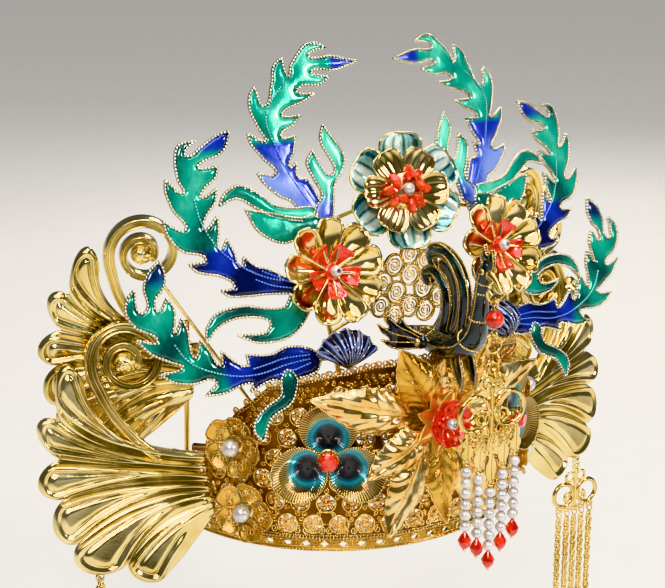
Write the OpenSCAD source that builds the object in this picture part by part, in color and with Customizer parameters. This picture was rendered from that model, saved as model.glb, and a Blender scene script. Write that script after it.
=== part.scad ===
// Phoenix crown: an open-backed head band that carries a pierced panel, two pairs of fan wings,
// three pairs of enamel tail feathers, flowers, a small phoenix and hanging pearl and chain drops.
// Millimetres, +Z up. The origin is the centre of the band's lower edge. The front faces -Y,
// and +X is the wearer's left. Paired pieces are built on the wearer's left and mirrored.

/* [Band] */
// Radius of the band's outer face
band_r = 83.3; // [76:0.1:92]
// Thickness of the band strip
band_t = 1.5; // [1.2:0.1:2.2]
// Height of the band strip with its two edge wires
band_h = 7.4; // [6.5:0.1:12]
// Angle that the band reaches round on each side of the front
band_wrap = 100; // [96:1:112]
// Diameter of the wire on each edge of the band
band_wire_d = 1.9; // [1.6:0.1:2.4]
// Diameter of the round holes in the band
band_hole_d = 3.2; // [2:0.1:3.8]
// Angle from one hole of the band to the next
band_hole_step = 5.5; // [5:0.1:9]

/* [Pierced panel] */
// Thickness of the pierced panel
panel_t = 1.2; // [0.9:0.1:1.8]
// Height of the panel at the front of the crown
panel_front_h = 84; // [70:1:92]
// Height of the panel beside the wings
panel_side_h = 36; // [30:1:44]
// Angle that the panel reaches round on each side of the front
panel_wrap = 78; // [72:1:88]
// Diameter of the round holes in the panel
panel_hole_d = 7.2; // [4:0.1:7.8]
// Distance from one hole of the panel to the next
panel_hole_step = 11; // [10.5:0.1:16]

/* [Feathers] */
// Thickness of the enamel plates
plate_t = 1.3; // [0.9:0.1:2]
// Height of the upper tail feather
upper_feather_h = 72; // [60:1:84]
// Height of the middle tail feather
middle_feather_h = 64; // [54:1:72]
// Reach of the lower tail feather
lower_feather_h = 54; // [46:1:60]

/* [Wings] */
// Reach of the lower fan wing from its root
lower_wing_reach = 70; // [60:1:78]
// Reach of the upper fan wing from its root
upper_wing_reach = 65; // [56:0.5:74]
// Thickness of the stamped wing sheet
wing_t = 1.2; // [0.9:0.1:1.8]
// Height of the ribs that are pressed into the wings
wing_relief = 3.2; // [1:0.1:4]

/* [Flowers] */
// Diameter of the golden side flowers
side_flower_d = 44; // [36:1:48]
// Diameter of the top flower's enamel petals
top_flower_d = 48; // [40:1:54]
// Diameter of the enamel flowers on the panel
enamel_flower_d = 52; // [44:1:56]
// Diameter of the filigree flowers round the pearls
pearl_flower_d = 27; // [20:1:28]
// Length of the longest leaf of the front spray
spray_leaf_l = 64; // [54:1:70]
// Diameter of the front flower's red heart
front_heart_d = 19; // [14:0.5:22]
// Thickness of the flower petals
petal_t = 0.9; // [0.7:0.1:1.4]

/* [Stones and pearls] */
// Diameter of the large pearls beside the wings
large_pearl_d = 7.6; // [6:0.1:9]
// Diameter of the pearls on the hanging strings
string_pearl_d = 4.6; // [3.6:0.1:5]
// Diameter of the red crystals in the enamel flowers
setting_stone_d = 9; // [7:0.1:11]
// Diameter of the red crystal at the end of each string
drop_stone_d = 5.6; // [4:0.1:5.8]
// Number of pearls on each hanging string
string_pearls = 6; // [4:1:7]

/* [Phoenix and hanging drops] */
// Length of the phoenix from its breast to its tail
phoenix_l = 44; // [36:1:50]
// Distance from one pearl string to the next
string_step = 6.1; // [5.9:0.1:7]
// Outer diameter of each large ring of the front cloud plate
cloud_ring_d = 16.6; // [14:0.1:18]
// Diameter of the wire in the cloud plates
cloud_wire_d = 2; // [1.5:0.1:2.6]
// Outer diameter of each large ring of the side cloud plates
tassel_ring_d = 14; // [12:0.1:16]
// Length of the side chains below their cloud plate
chain_l = 104; // [60:1:130]
// Width of each side chain
chain_d = 2.8; // [2:0.1:3.4]

/* [Hidden] */
$fn = 48;

gold = "#d9a93a";
pale_gold = "#e8cf86";
teal = "#1f9c8c";
blue = "#2438a8";
navy = "#101a33";
red = "#d8281c";
pearl_white = "#efe9e4";

// Air between pieces that are pinned or tied together
seat = 0.3;
// Diameter of the frame's wires, and of the small wires and eyes
frame_d = 2.4;
fine_d = 1;
// Height of the holes' centres in the band
band_mid_z = band_h / 2;
panel_r = band_r + seat + panel_t;

// A vector of length one
function unit(v) = v / norm(v);
// A point on the crown's round side: angle from the front, radius and height
function round_point(a, r, z) = [r * sin(a), -r * cos(a), z];
// The three directions of a leaning sheet: along it, up it and out of its front face
function sheet_axes(lean, splay) =
    let (u = unit([1, splay, 0]), n = unit([splay, -1, lean])) [u, cross(n, u), n];
// How far the upward direction of a leaning sheet tips towards its long direction
function sheet_skew(lean, splay) = unit([1, splay, 0]) * unit([0, lean, 1]);
// Turns a place on the sheet, measured level and up the slope, into square sheet coordinates
function square_up(p, k) = [p[0] + k * p[1], p[1] * sqrt(1 - k * k)];

// Draws its children with x, y and z along the given axes, from the given point
module on_axes(origin, axes) {
    u = axes[0];
    v = axes[1];
    w = axes[2];
    multmatrix([
        [u[0], v[0], w[0], origin[0]],
        [u[1], v[1], w[1], origin[1]],
        [u[2], v[2], w[2], origin[2]],
        [0, 0, 0, 1]
    ]) children();
}

// Directions of a flower that faces outward: a is its turn round the crown, tilt its upward look
function facing(a, tilt) = let (
    n = [sin(a) * cos(tilt), -cos(a) * cos(tilt), sin(tilt)],
    u = [cos(a), sin(a), 0]
) [u, cross(n, u), n];

// Draws its children on the wearer's left when s is 1, and mirrored when s is -1
module side(s) {
    if (s > 0)
        children();
    else
        mirror([1, 0, 0]) children();
}

// A closed solid through rings of points. Each ring has an even number of points: its first
// half is one face of a sheet and its second half, backwards, the other
module loft(rings) {
    n = len(rings);
    m = len(rings[0]);
    h = m / 2;
    points = [for (ring = rings) for (p = ring) p];
    walls = [for (i = [0:n - 2]) for (j = [0:m - 1])
        let (a = i * m + j, b = i * m + (j + 1) % m, c = a + m, d = b + m)
        for (f = [[a, b, d], [a, d, c]]) f];
    ends = [for (j = [0:h - 2])
        let (a = j, b = j + 1, c = m - 2 - j, d = m - 1 - j)
        for (f = [[a, c, b], [a, d, c]]) f];
    far = (n - 1) * m;
    faces = concat(walls, ends, [for (f = ends) [far + f[0], far + f[2], far + f[1]]]);
    outward = filled([for (f = faces) [points[f[0]], points[f[1]], points[f[2]]]]) < 0;
    polyhedron(
        points = points,
        faces = outward ? faces : [for (f = faces) reversed(f)],
        convexity = 8
    );
}
// Six times the space inside a closed set of triangles, below zero where their order is clockwise
function filled(triangles) =
    [for (t = triangles) cross(t[0], t[1]) * t[2]] * [for (t = triangles) 1];
function reversed(v) = [for (i = [len(v) - 1:-1:0]) v[i]];

// A straight round wire from one point to another
module wire(a, b, d) {
    v = b - a;
    l = norm(v);
    turn = atan2(v[1], v[0]);
    translate(a) rotate([0, acos(v[2] / l), turn]) cylinder(d = d, h = l);
}

// A round wire ring that lies flat: outer diameter and wire diameter
module wire_ring(outer_d, wire_d) {
    rotate_extrude() translate([(outer_d - wire_d) / 2, 0]) circle(d = wire_d, $fn = 16);
}

// A smooth closed outline through rows of [x, y, corner]. Where corner is 1 the line may break
function row_at(rows, i) = rows[(i + len(rows)) % len(rows)];
function spot(row) = [row[0], row[1]];
function heading(rows, i, chord) = row_at(rows, i)[2] == 1
    ? chord
    : unit(spot(row_at(rows, i + 1)) - spot(row_at(rows, i - 1))) * norm(chord);
function outline(rows, steps = 4) = [
    for (i = [0:len(rows) - 1])
        let (
            p = spot(rows[i]), q = spot(row_at(rows, i + 1)), chord = q - p,
            s = heading(rows, i, chord), e = heading(rows, i + 1, chord)
        )
        for (j = [0:steps - 1])
            let (t = j / steps, t2 = t * t, t3 = t2 * t)
            p * (2 * t3 - 3 * t2 + 1) + s * (t3 - 2 * t2 + t) + q * (3 * t2 - 2 * t3) + e * (t3 - t2)
];

// Head band: a strip with a row of round holes between two wires, open at the back
module base_band() {
    color(gold) difference() {
        rotate([0, 0, -90 - band_wrap]) union() {
            rotate_extrude(angle = 2 * band_wrap)
                translate([band_r - band_t, band_wire_d / 2])
                    square([band_t, band_h - band_wire_d]);
            for (z = [band_wire_d / 2, band_h - band_wire_d / 2])
                rotate_extrude(angle = 2 * band_wrap)
                    translate([band_r - band_t / 2, z]) circle(d = band_wire_d);
        }
        for (a = [-band_wrap + band_hole_step:band_hole_step:band_wrap - band_hole_step / 2])
            rotate([0, 0, a - 90])
                translate([band_r - 2 * band_t, 0, band_mid_z])
                    rotate([0, 90, 0]) cylinder(d = band_hole_d, h = 3 * band_t);
    }
}

// Height of the panel's upper edge, from rows of [share of the radius, share of the rise]
panel_profile = [
    [0, 1], [0.34, 0.97], [0.57, 0.88], [0.76, 0.77], [0.86, 0.5], [0.94, 0.12], [1.02, 0]
];
panel_foot_z = band_h + seat;
function panel_top(share) = panel_side_h + share * (panel_front_h - panel_side_h);
module panel_outline() {
    rim = [for (p = panel_profile) [p[0] * panel_r, panel_top(p[1])]];
    polygon(concat(
        [[0, panel_foot_z], [1.02 * panel_r, panel_foot_z]],
        reversed(rim),
        [for (i = [1:len(rim) - 1]) [-rim[i][0], rim[i][1]]],
        [[-1.02 * panel_r, panel_foot_z]]
    ));
}
// Highest hole that the panel takes at a given turn round the crown
function panel_rim_z(a) = panel_top(lookup(abs(sin(a)), panel_profile));
module pierced_panel() {
    turn = panel_hole_step / panel_r * 180 / PI;
    row = panel_hole_step * 0.87;
    margin = panel_hole_d / 2 + 2.2;
    color(gold) difference() {
        intersection() {
            rotate([0, 0, -90 - panel_wrap]) rotate_extrude(angle = 2 * panel_wrap)
                translate([panel_r - panel_t, panel_foot_z])
                    square([panel_t, panel_front_h]);
            translate([0, -1, 0]) rotate([90, 0, 0]) linear_extrude(panel_r + 2) panel_outline();
        }
        for (i = [0:ceil(panel_front_h / row)])
            for (a = [(i % 2) * turn / 2:turn:panel_wrap - turn / 2])
                for (s = (a == 0 ? [1] : [-1, 1]))
                    let (z = panel_foot_z + margin + i * row)
                    if (z + margin < panel_rim_z(a + turn / 3))
                        rotate([0, 0, s * a - 90])
                            translate([panel_r - 2 * panel_t, 0, z])
                                rotate([0, 90, 0]) cylinder(d = panel_hole_d, h = 3 * panel_t);
    }
}

// Leaning sheets that the feathers lie in, as [lean, splay] and the root's [x, y, z]
upper_lean = [0.346, 0.082];
upper_root = [0.4564 * panel_r, 31.5 - panel_r, panel_front_h + 59];
middle_lean = [0.300, 0.181];
middle_root = [0.7252 * panel_r, 24 - panel_r, panel_front_h + 33.3];
lower_lean = [0.296, 0.134];
lower_root = [0.7017 * panel_r, 14.7 - panel_r, panel_front_h - 3.4];

// Outlines of the feathers and their ribbons, as [along, up, corner] in hundredths of the
// feather's height, measured from its root. A barb is a corner between two rounded notches
upper_barbs = [
    [15, 9, 0], [23, 14, 0], [31, 22, 0], [34, 28, 1], [23, 27, 0], [29, 36, 0], [35, 45, 0],
    [36, 51, 1], [26, 46, 0], [28, 52, 0], [32, 64, 0], [31, 72, 0], [27, 77, 1], [23, 66, 0],
    [16, 78, 0], [13, 88, 0], [7, 93, 1], [5, 82, 0], [2, 88, 0], [-4, 95, 0], [-10, 100, 0],
    [-17, 100, 0], [-22, 97, 1], [-14, 96, 0], [-10, 93, 0], [-14, 91.5, 0], [-25, 92, 0],
    [-41, 88, 1], [-25, 84, 0], [-13, 85, 0], [-10, 83, 0], [-21, 80, 1], [-14, 76, 0],
    [-3, 76, 0], [1, 72.5, 0], [-10, 71, 1], [-2, 67, 0], [10, 63, 0], [13, 59.5, 0],
    [1, 59, 1], [7, 54, 0], [16, 48, 0], [7, 47, 1], [10, 38, 0], [14, 30, 0], [9, 32, 1],
    [10, 24, 0], [4, 22, 1], [-1, 9, 0], [-3, -8, 0], [3, -13, 0], [9, -8, 0]
];
upper_ribbons = [
    [[1, -6, 0], [-7, -2, 0], [-9, 5, 0], [-12, 17, 0], [-19, 26, 0], [-21, 33, 0],
        [-17, 42, 0], [-11, 52, 1], [-8, 43, 0], [-12, 33, 0], [-14, 25, 0], [-9, 23, 0],
        [-5, 29, 0], [-2, 38, 1], [3, 31, 0], [0, 21, 0], [-3, 12, 0], [4, 2, 0]],
    [[4, 5, 0], [16, 6, 0], [28, 9, 0], [36, 16, 0], [47, 22, 0], [57, 18, 0], [61, 12, 1],
        [50, 15, 0], [40, 9, 0], [29, 2, 0], [16, -1, 0], [4, -3, 0]],
    [[2, 0, 0], [14, 0, 0], [29, 4, 0], [46, 8, 1], [40, -5, 0], [26, -13, 0], [12, -9, 0],
        [3, -8, 0]]
];
middle_barbs = [
    [10, -3, 0], [22, -3, 0], [35, -2, 0], [40, 2, 1], [31, 4, 0], [39, 11, 0], [53, 15, 0],
    [58, 20, 1], [47, 23, 0], [61, 29, 0], [69, 40, 0], [70, 48, 1], [57, 42, 0], [63, 55, 0],
    [66, 66, 0], [65, 74, 1], [55, 65, 0], [57, 74, 0], [57, 86, 0], [53, 95, 0], [42, 97, 1],
    [48, 93, 0], [50, 89, 0], [46, 88, 0], [40, 92, 0], [29, 99, 0], [19, 102, 1], [23, 92, 0],
    [29, 87, 0], [39, 84, 0], [43, 80, 0], [30, 80, 1], [33, 73, 0], [41, 67, 0], [44, 61, 0],
    [33, 66, 1], [36, 57, 0], [43, 49, 0], [45, 41, 0], [35, 49, 1], [36, 39, 0], [37, 28, 0],
    [31, 34, 1], [28, 25, 0], [25, 16, 0], [22, 22, 1], [16, 16, 0], [6, 12, 0], [-6, 5, 0],
    [-14, 3, 0], [-14, -4, 0], [-4, -4, 0]
];
middle_ribbons = [
    [[-14, -3, 0], [-6, -4, 0], [0, -12, 0], [12, -12, 0], [27, -9, 0], [45, -12, 0],
        [53, -20, 0], [55, -29, 1], [45, -20, 0], [30, -16, 0], [12, -20, 0], [15, -27, 0],
        [34, -27, 1], [21, -33, 0], [2, -32, 0], [-10, -24, 0], [-18, -10, 0]]
];
lower_barbs = [
    [14, 0, 0], [19, 2, 0], [28, 0, 0], [39, -5, 1], [37, 1, 0], [46, 1, 0], [60, -3, 0],
    [74, -3, 1], [65, 7, 0], [83, 7, 0], [97, 10, 0], [106, 17, 1], [89, 20, 0], [97, 25, 0],
    [111, 33, 0], [120, 44, 1], [105, 42, 0], [119, 53, 0], [125, 64, 0], [123, 74, 0],
    [116, 81, 1], [117, 67, 0], [113, 63, 0], [108, 68, 0], [109, 81, 0], [104, 92, 0],
    [94, 100, 1], [92, 88, 0], [96, 78, 0], [102, 72, 0], [101, 63, 0], [93, 72, 1],
    [89, 64, 0], [90, 53, 0], [91, 46, 0], [84, 56, 1], [81, 46, 0], [81, 31, 0], [78, 26, 0],
    [72, 38, 1], [67, 30, 0], [60, 18, 0], [57, 28, 1], [49, 20, 0], [39, 15, 0], [38, 23, 1],
    [19, 21, 0], [4, 25, 0], [-14, 21, 0], [-20, 12, 0], [-16, 4, 0], [-4, 1, 0]
];
lower_ribbons = [
    [[2, 2, 0], [2, -4, 0], [9, -17, 0], [26, -26, 0], [32, -35, 0], [35, -43, 1],
        [41, -35, 0], [39, -26, 0], [28, -17, 0], [16, -10, 0], [14, 2, 0], [8, 8, 0]]
];

// Places a flat enamel plate in its leaning sheet, front face outward
module feather(barbs, ribbons, h, root, lean) {
    k = sheet_skew(lean[0], lean[1]);
    on_axes(root, sheet_axes(lean[0], lean[1])) translate([0, 0, -plate_t])
        union() {
            for (rows = concat([barbs], ribbons))
                linear_extrude(plate_t)
                    polygon([for (p = outline(rows)) square_up(p * h / 100, k)]);
        }
}
module upper_feather(s) {
    color(teal) side(s) feather(upper_barbs, upper_ribbons, upper_feather_h, upper_root, upper_lean);
}
module middle_feather(s) {
    color(teal)
        side(s) feather(middle_barbs, middle_ribbons, middle_feather_h, middle_root, middle_lean);
}
module lower_feather(s) {
    color(teal) side(s) feather(lower_barbs, lower_ribbons, lower_feather_h, lower_root, lower_lean);
}

// Rays of a fan wing, from its scroll round to its lowest lobe, in hundredths of its reach.
// Gaps and lobes take turns: [bend along, bend up, end along, end up]
wing_rays = [
    [66, 19, 66, 59], [70, 14, 79, 70], [69, 14, 83, 39], [56, 9, 97, 34], [56, 8, 85, 15],
    [49, 7, 100, 0], [51, 0, 84, -9], [46, -1, 94, -27], [44, -9, 80, -37], [37, -11, 77, -56],
    [33, -25, 51, -52], [21, -29, 46, -64], [17, -54, 31, -64]
];
// Line that the rays start from: its place along, its upper end and its lower end
wing_root_line = [-5, 11, -27];
// Scroll of a fan wing: [turn about its centre, distance from it, half its width]
wing_scroll_centre = [40, 70];
wing_scroll = [
    [-104, 62, 6], [-90, 46, 5.2], [-73, 33.5, 4.6], [-48, 24.5, 4.2], [-20, 21.5, 4],
    [15, 21, 3.9], [50, 21.5, 3.8], [85, 21.8, 3.7], [120, 21.5, 3.6], [155, 21, 3.4],
    [190, 19, 3.2], [225, 16.5, 3], [260, 14.5, 2.9], [300, 13, 2.8], [345, 12, 2.8],
    [30, 11.5, 2.8], [75, 11, 2.8], [120, 10, 2.9], [165, 8, 3.1], [210, 5.5, 3.4]
];
// Share of the relief at each of the six columns of a lobe, from one gap to the next
lobe_relief = [0, 0.75, 1, 0.5, 1, 0.75];
// Share of the relief at each step from the wing's root to its edge
reach_relief = [0.35, 0.6, 0.8, 0.95, 1, 0.9, 0.55];
// How far the scroll's back stands behind the fan's, and the relief across its front
scroll_back = 1;
scroll_relief = [0.3, 1.15, 0.65, 1.15, 0.3];

// A point of a wing's leaning sheet: place is [lean, splay, front], p is along and up, h is out
function wing_point(place, p, h) =
    let (axes = sheet_axes(place[0], place[1]), q = square_up(p, sheet_skew(place[0], place[1])))
    [0, place[2], 0] + q[0] * axes[0] + q[1] * axes[1] + h * axes[2];
function turned(p, a) = [p[0] * cos(a) - p[1] * sin(a), p[0] * sin(a) + p[1] * cos(a)];
function ray_point(root, bend, end, t) =
    (1 - t) * (1 - t) * root + 2 * t * (1 - t) * bend + t * t * end;

// Column c of the fan: six to a lobe, on a half ellipse from one gap round the tip to the next
function fan_column(c) =
    let (
        lobe = min(floor(c / 6), 5), turn = (c - 6 * lobe) * 30,
        g = wing_rays[2 * lobe], tip = wing_rays[2 * lobe + 1], g2 = wing_rays[2 * lobe + 2],
        from = turn <= 90 ? g : g2, w = sin(turn),
        mid = ([g[2], g[3]] + [g2[2], g2[3]]) / 2
    )
    [
        [wing_root_line[0], wing_root_line[1] + (wing_root_line[2] - wing_root_line[1]) * c / 36],
        [from[0], from[1]] * (1 - w) + [tip[0], tip[1]] * w,
        mid + ([g[2], g[3]] - mid) * cos(turn) + ([tip[2], tip[3]] - mid) * w
    ];
// One row of the fan's front, as [along, up, out]
function fan_row(t, relief) = [
    for (c = [0:36])
        let (column = fan_column(c), p = ray_point(column[0], column[1], column[2], t))
        [p[0], p[1], relief * lobe_relief[c % 6]]
];

module fan(place, root, reach, tilt) {
    rows = len(reach_relief);
    loft([
        for (i = [0:rows - 1])
            let (
                row = fan_row(pow(i / (rows - 1), 0.85), reach_relief[i] * wing_relief),
                front = [for (p = row)
                    wing_point(place, root + turned([p[0], p[1]], tilt) * reach / 100, p[2])],
                back = [for (p = row)
                    wing_point(place, root + turned([p[0], p[1]], tilt) * reach / 100, p[2] - wing_t)]
            )
            concat(front, reversed(back))
    ]);
}
module scroll(place, root, reach, tilt) {
    last = len(wing_scroll) - 1;
    loft([
        for (s = wing_scroll)
            let (
                front = [for (j = [0:4])
                    let (r = s[1] + s[2] * (j / 2 - 1),
                        p = wing_scroll_centre + r * [cos(s[0]), sin(s[0])])
                    wing_point(place, root + turned(p, tilt) * reach / 100,
                        wing_relief * scroll_relief[j])],
                back = [for (j = [0:4])
                    let (r = s[1] + s[2] * (j / 2 - 1),
                        p = wing_scroll_centre + r * [cos(s[0]), sin(s[0])])
                    wing_point(place, root + turned(p, tilt) * reach / 100, -wing_t - scroll_back)]
            )
            concat(front, reversed(back))
    ]);
}
lower_wing_place = [0.185, 0.3, -0.731 * panel_r];
lower_wing_root = [1.038 * panel_r, 33];
upper_wing_place = [-0.05, 0.4, -0.514 * panel_r];
upper_wing_root = [1.032 * panel_r, 77.5];
upper_wing_tilt = 7;
// Front, turn and rise of a place on a wing's sheet that lies at a given x and z
function wing_front(place, x, z) = place[2] + place[0] * z + place[1] * x;

// Feet that carry the lower wing on the panel: [x, z] of each
wing_feet = [[1.014 * panel_r, 19], [1.014 * panel_r, 33]];
// Place of the tassel's eye below the fifth lobe, in hundredths of the wing's reach
tassel_eye = [69.4, -60.2];
eye_d = 4.6;
eye_hole_d = 2.4;
tassel_eye_point = wing_point(
    lower_wing_place, lower_wing_root + tassel_eye * lower_wing_reach / 100, -wing_t / 2);
module lower_wing(s) {
    color(gold) side(s) {
        difference() {
            union() {
                fan(lower_wing_place, lower_wing_root, lower_wing_reach, 0);
                scroll(lower_wing_place, lower_wing_root, lower_wing_reach, 0);
                translate(tassel_eye_point) rotate([90, 0, 0])
                    cylinder(d = eye_d, h = wing_t, center = true);
                for (foot = wing_feet)
                    let (
                        front = wing_front(lower_wing_place, foot[0], foot[1]),
                        a = atan2(foot[0], -front)
                    )
                    wire(round_point(a, panel_r + seat, foot[1]), [foot[0], front, foot[1]], 4);
            }
            translate(tassel_eye_point) rotate([90, 0, 0])
                cylinder(d = eye_hole_d, h = 4 * wing_t, center = true);
        }
    }
}
module upper_wing(s) {
    color(gold) side(s) {
        fan(upper_wing_place, upper_wing_root, upper_wing_reach, upper_wing_tilt);
        scroll(upper_wing_place, upper_wing_root, upper_wing_reach, upper_wing_tilt);
    }
}

// Places and outward directions of the flowers, on the wearer's left
side_flower_at = [0.4965 * panel_r, 18.6 - panel_r, panel_front_h + 38.3];
side_flower_axes = facing(6, 18);
side_flower_stem = 9.7;
top_flower_at = [0, 28.7 - panel_r, panel_front_h + 65.4];
top_flower_axes = facing(0, 20);
top_flower_stem = 13;
enamel_flower_turn = 32.8;
enamel_flower_z = 44.6;
pearl_flower_turns = [59.7, 56.6];
pearl_flower_heights = [46.4, 17.6];
bud_at = [0.4658 * panel_r, 10 - panel_r, panel_front_h + 7];
bud_axes = facing(16, 12);

// Wire frame behind the flowers: posts inside the panel, a hoop, and arms to each piece
frame_r = panel_r - panel_t - seat - frame_d / 2;
hoop_z = 30;
hoop_wrap = 92;
arm_turn = 27;
arm_foot_z = panel_front_h - 24;
stay_turn = 50;
stay_foot_z = 54;
pad_t = 1.7;
pad_d = 7;
joint_d = 3.4;
upper_post_x = 0.955 * panel_r;
upper_post_top_z = 94;
arm_foot = round_point(arm_turn, frame_r, arm_foot_z);
arm_top = side_flower_at - (side_flower_stem + seat + pad_t) * side_flower_axes[2];
top_pad = top_flower_at - (top_flower_stem + seat + pad_t) * top_flower_axes[2];

// The point behind a feather where its pad ends, and the round pad in front of that point
function pad_back(root, lean, h, p) =
    let (axes = sheet_axes(lean[0], lean[1]), q = square_up(p * h / 100, sheet_skew(lean[0], lean[1])))
    root + q[0] * axes[0] + q[1] * axes[1] - (plate_t + seat + pad_t) * axes[2];
module pad(at, axes) {
    on_axes(at, axes) cylinder(d = pad_d, h = pad_t);
    translate(at) sphere(d = joint_d);
}
upper_back = pad_back(upper_root, upper_lean, upper_feather_h, [3, -6]);
middle_back = pad_back(middle_root, middle_lean, middle_feather_h, [-8, 0]);
lower_back = pad_back(lower_root, lower_lean, lower_feather_h, [-14, 13]);
function behind_upper_wing(x, z) =
    [x, wing_front(upper_wing_place, x, z) + 1.1 * (wing_t + scroll_back) + seat + frame_d / 2, z];
module frame_side() {
    // Posts: the arm's, the stay's and the upper wing's
    wire(round_point(arm_turn, frame_r, panel_foot_z), arm_foot, frame_d);
    wire(round_point(stay_turn, frame_r, panel_foot_z), round_point(stay_turn, frame_r, stay_foot_z),
        frame_d);
    wire(behind_upper_wing(upper_post_x, hoop_z), behind_upper_wing(upper_post_x, upper_post_top_z),
        frame_d);
    // Arm that carries the feathers and the side flower, then the arch to the top flower
    wire(arm_foot, arm_top, 0.95 * frame_d);
    translate(arm_foot) sphere(d = 1.08 * frame_d);
    wire(arm_top, upper_back, 0.85 * frame_d);
    wire(arm_top, middle_back, 0.78 * frame_d);
    wire(arm_foot + (arm_top - arm_foot) * 0.42, lower_back, 0.8 * frame_d);
    wire(upper_back, top_pad, 0.75 * frame_d);
    pad(arm_top, side_flower_axes);
    pad(upper_back, sheet_axes(upper_lean[0], upper_lean[1]));
    pad(middle_back, sheet_axes(middle_lean[0], middle_lean[1]));
    pad(lower_back, sheet_axes(lower_lean[0], lower_lean[1]));
    // Stem rest for the shell bud, and the stay of the filigree rings
    wire(bud_rest, bud_rest + (bud_stem_foot - bud_rest) * 0.7, 0.9 * frame_d);
    wire(arm_foot + (arm_top - arm_foot) * 0.6, [rings_reach, rings_y, rings_z - 4], fine_d * 1.6);
    // Stay from the panel's post to the upper wing's scroll
    wire(round_point(stay_turn, frame_r, stay_foot_z), stay_top, fine_d * 1.4);
    translate(round_point(stay_turn, frame_r, stay_foot_z)) sphere(d = 1.1 * frame_d);
}
stay_turn_on_scroll = 235;
stay_top = wing_point(upper_wing_place, upper_wing_root
    + turned(wing_scroll_centre + 16 * [cos(stay_turn_on_scroll), sin(stay_turn_on_scroll)],
        upper_wing_tilt) * upper_wing_reach / 100, -wing_t - scroll_back - seat - 1.2 * fine_d);
// Nearest point to p on the line from a to b
function foot_on(a, b, p) = a + ((p - a) * unit(b - a)) * unit(b - a);
bud_rest = foot_on(arm_foot, arm_top, bud_at);
bud_stem_foot = bud_rest + unit(bud_at - bud_rest) * (frame_d / 2 + seat);

// Filigree rings that stand behind the phoenix: [across, up] of each, and their common size
filigree_rings = [
    [0, 17], [-8, 13], [8, 13], [0, 8], [-14, 6], [14, 6], [-7, 1], [7, 1], [-15, -4], [15, -4],
    [0, -6], [-8, -9], [8, -9]
];
filigree_d = 10.4;
rings_reach = 15 + filigree_d / 2 - 0.6;
rings_behind = 22;
rings_y = rings_behind - panel_r;
rings_up = 23;
rings_z = panel_front_h + rings_up;
module hoop(d, w) {
    difference() {
        circle(d = d);
        circle(d = d - 2 * w);
    }
}
module crown_frame() {
    color(gold) union() {
        rotate([0, 0, -90 - hoop_wrap]) rotate_extrude(angle = 2 * hoop_wrap)
            translate([frame_r - 0.1 * frame_d, hoop_z]) circle(d = 0.8 * frame_d);
        wire(round_point(0, frame_r, panel_foot_z), round_point(0, frame_r, panel_front_h), frame_d);
        pad(top_pad, top_flower_axes);
        translate([0, rings_y, rings_z]) rotate([90, 0, 0]) linear_extrude(1.2, center = true)
            for (p = filigree_rings)
                translate(p) hoop(filigree_d, 1.1);
        frame_side();
        mirror([1, 0, 0]) frame_side();
    }
}

// Widths of a petal from its foot to its tip, as [share of its length, share of its width]
petal_shape = [[0, 0.34], [0.22, 0.66], [0.47, 0.94], [0.72, 1], [0.9, 0.74], [1, 0.3]];
// A curved petal that grows along +Y: r0 is where it starts, rise lifts its tip, cup its edges
module petal(l, w, r0, rise, cup, t) {
    loft([
        for (row = petal_shape)
            let (
                front = [for (j = [-2:2])
                    [j / 4 * w * row[1], r0 + l * row[0],
                        rise * row[0] * row[0] + cup * j * j / 4 * row[1]]]
            )
            concat(front, reversed([for (p = front) p - [0, 0, t]]))
    ]);
}
// A ring of petals on a round foot, with a post through its middle
module blossom(count, d, foot_d, share, rise, cup, turn = 0) {
    w = share * PI * d * 0.36 / count * 2;
    for (i = [0:count - 1])
        rotate([0, 0, turn + i * 360 / count])
            petal(d / 2 - foot_d / 2 + 1, w, foot_d / 2 - 1, rise, cup, petal_t);
    translate([0, 0, -1.7]) cylinder(d = foot_d, h = 2.2);
}
// A flat petal with round edges that leans forward, along +Y
module flat_petal(l, w, t, lean) {
    rotate([lean, 0, 0]) linear_extrude(t) polygon(outline([
        [0, 0, 0], [w * 0.34, l * 0.2, 0], [w * 0.5, l * 0.62, 0], [w * 0.3, l * 0.95, 0],
        [0, l, 0], [-w * 0.3, l * 0.95, 0], [-w * 0.5, l * 0.62, 0], [-w * 0.34, l * 0.2, 0]
    ], 3));
}
// A cut stone with a table, eight crown facets and eight pavilion facets, from z = 0 to h
module cut_stone(d, h) {
    loft([
        for (ring = [[0.3, 0], [1, 0.55], [1, 0.66], [0.56, 1]])
            [for (i = [0:7]) [d / 2 * ring[0] * cos(i * 45 + 22.5),
                d / 2 * ring[0] * sin(i * 45 + 22.5), h * ring[1]]]
    ]);
}
// A round bead with a hole along z
module bead(d, hole_d) {
    difference() {
        sphere(d = d);
        cylinder(d = hole_d, h = 2 * d, center = true);
    }
}

post_d = 1.2;
post_hole_d = post_d + 2 * seat;
side_heart_d = 20;
side_heart_lift = 1.2;
side_bead_d = 5;
module side_flower(s) {
    color(gold) side(s) on_axes(side_flower_at, side_flower_axes) union() {
        blossom(9, side_flower_d, 14, 0.9, 3.5, 2.4);
        translate([0, 0, -side_flower_stem]) cylinder(d = 3, h = side_flower_stem);
        cylinder(d = post_d, h = side_heart_lift + 5.5);
    }
}
module side_heart(s) {
    color(red) side(s) on_axes(side_flower_at, side_flower_axes)
        translate([0, 0, side_heart_lift]) difference() {
            union() {
                for (i = [0:4])
                    rotate([0, 0, 36 + i * 72]) flat_petal(side_heart_d / 2, 9.6, 1.4, 22);
                cylinder(d = 7, h = 2.6);
            }
            translate([0, 0, -5]) cylinder(d = post_hole_d, h = 20);
        }
}
module side_bead(s) {
    color(pearl_white) side(s) on_axes(side_flower_at, side_flower_axes)
        translate([0, 0, side_heart_lift + 2.6 + seat + side_bead_d / 2])
            bead(side_bead_d, post_hole_d);
}

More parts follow.
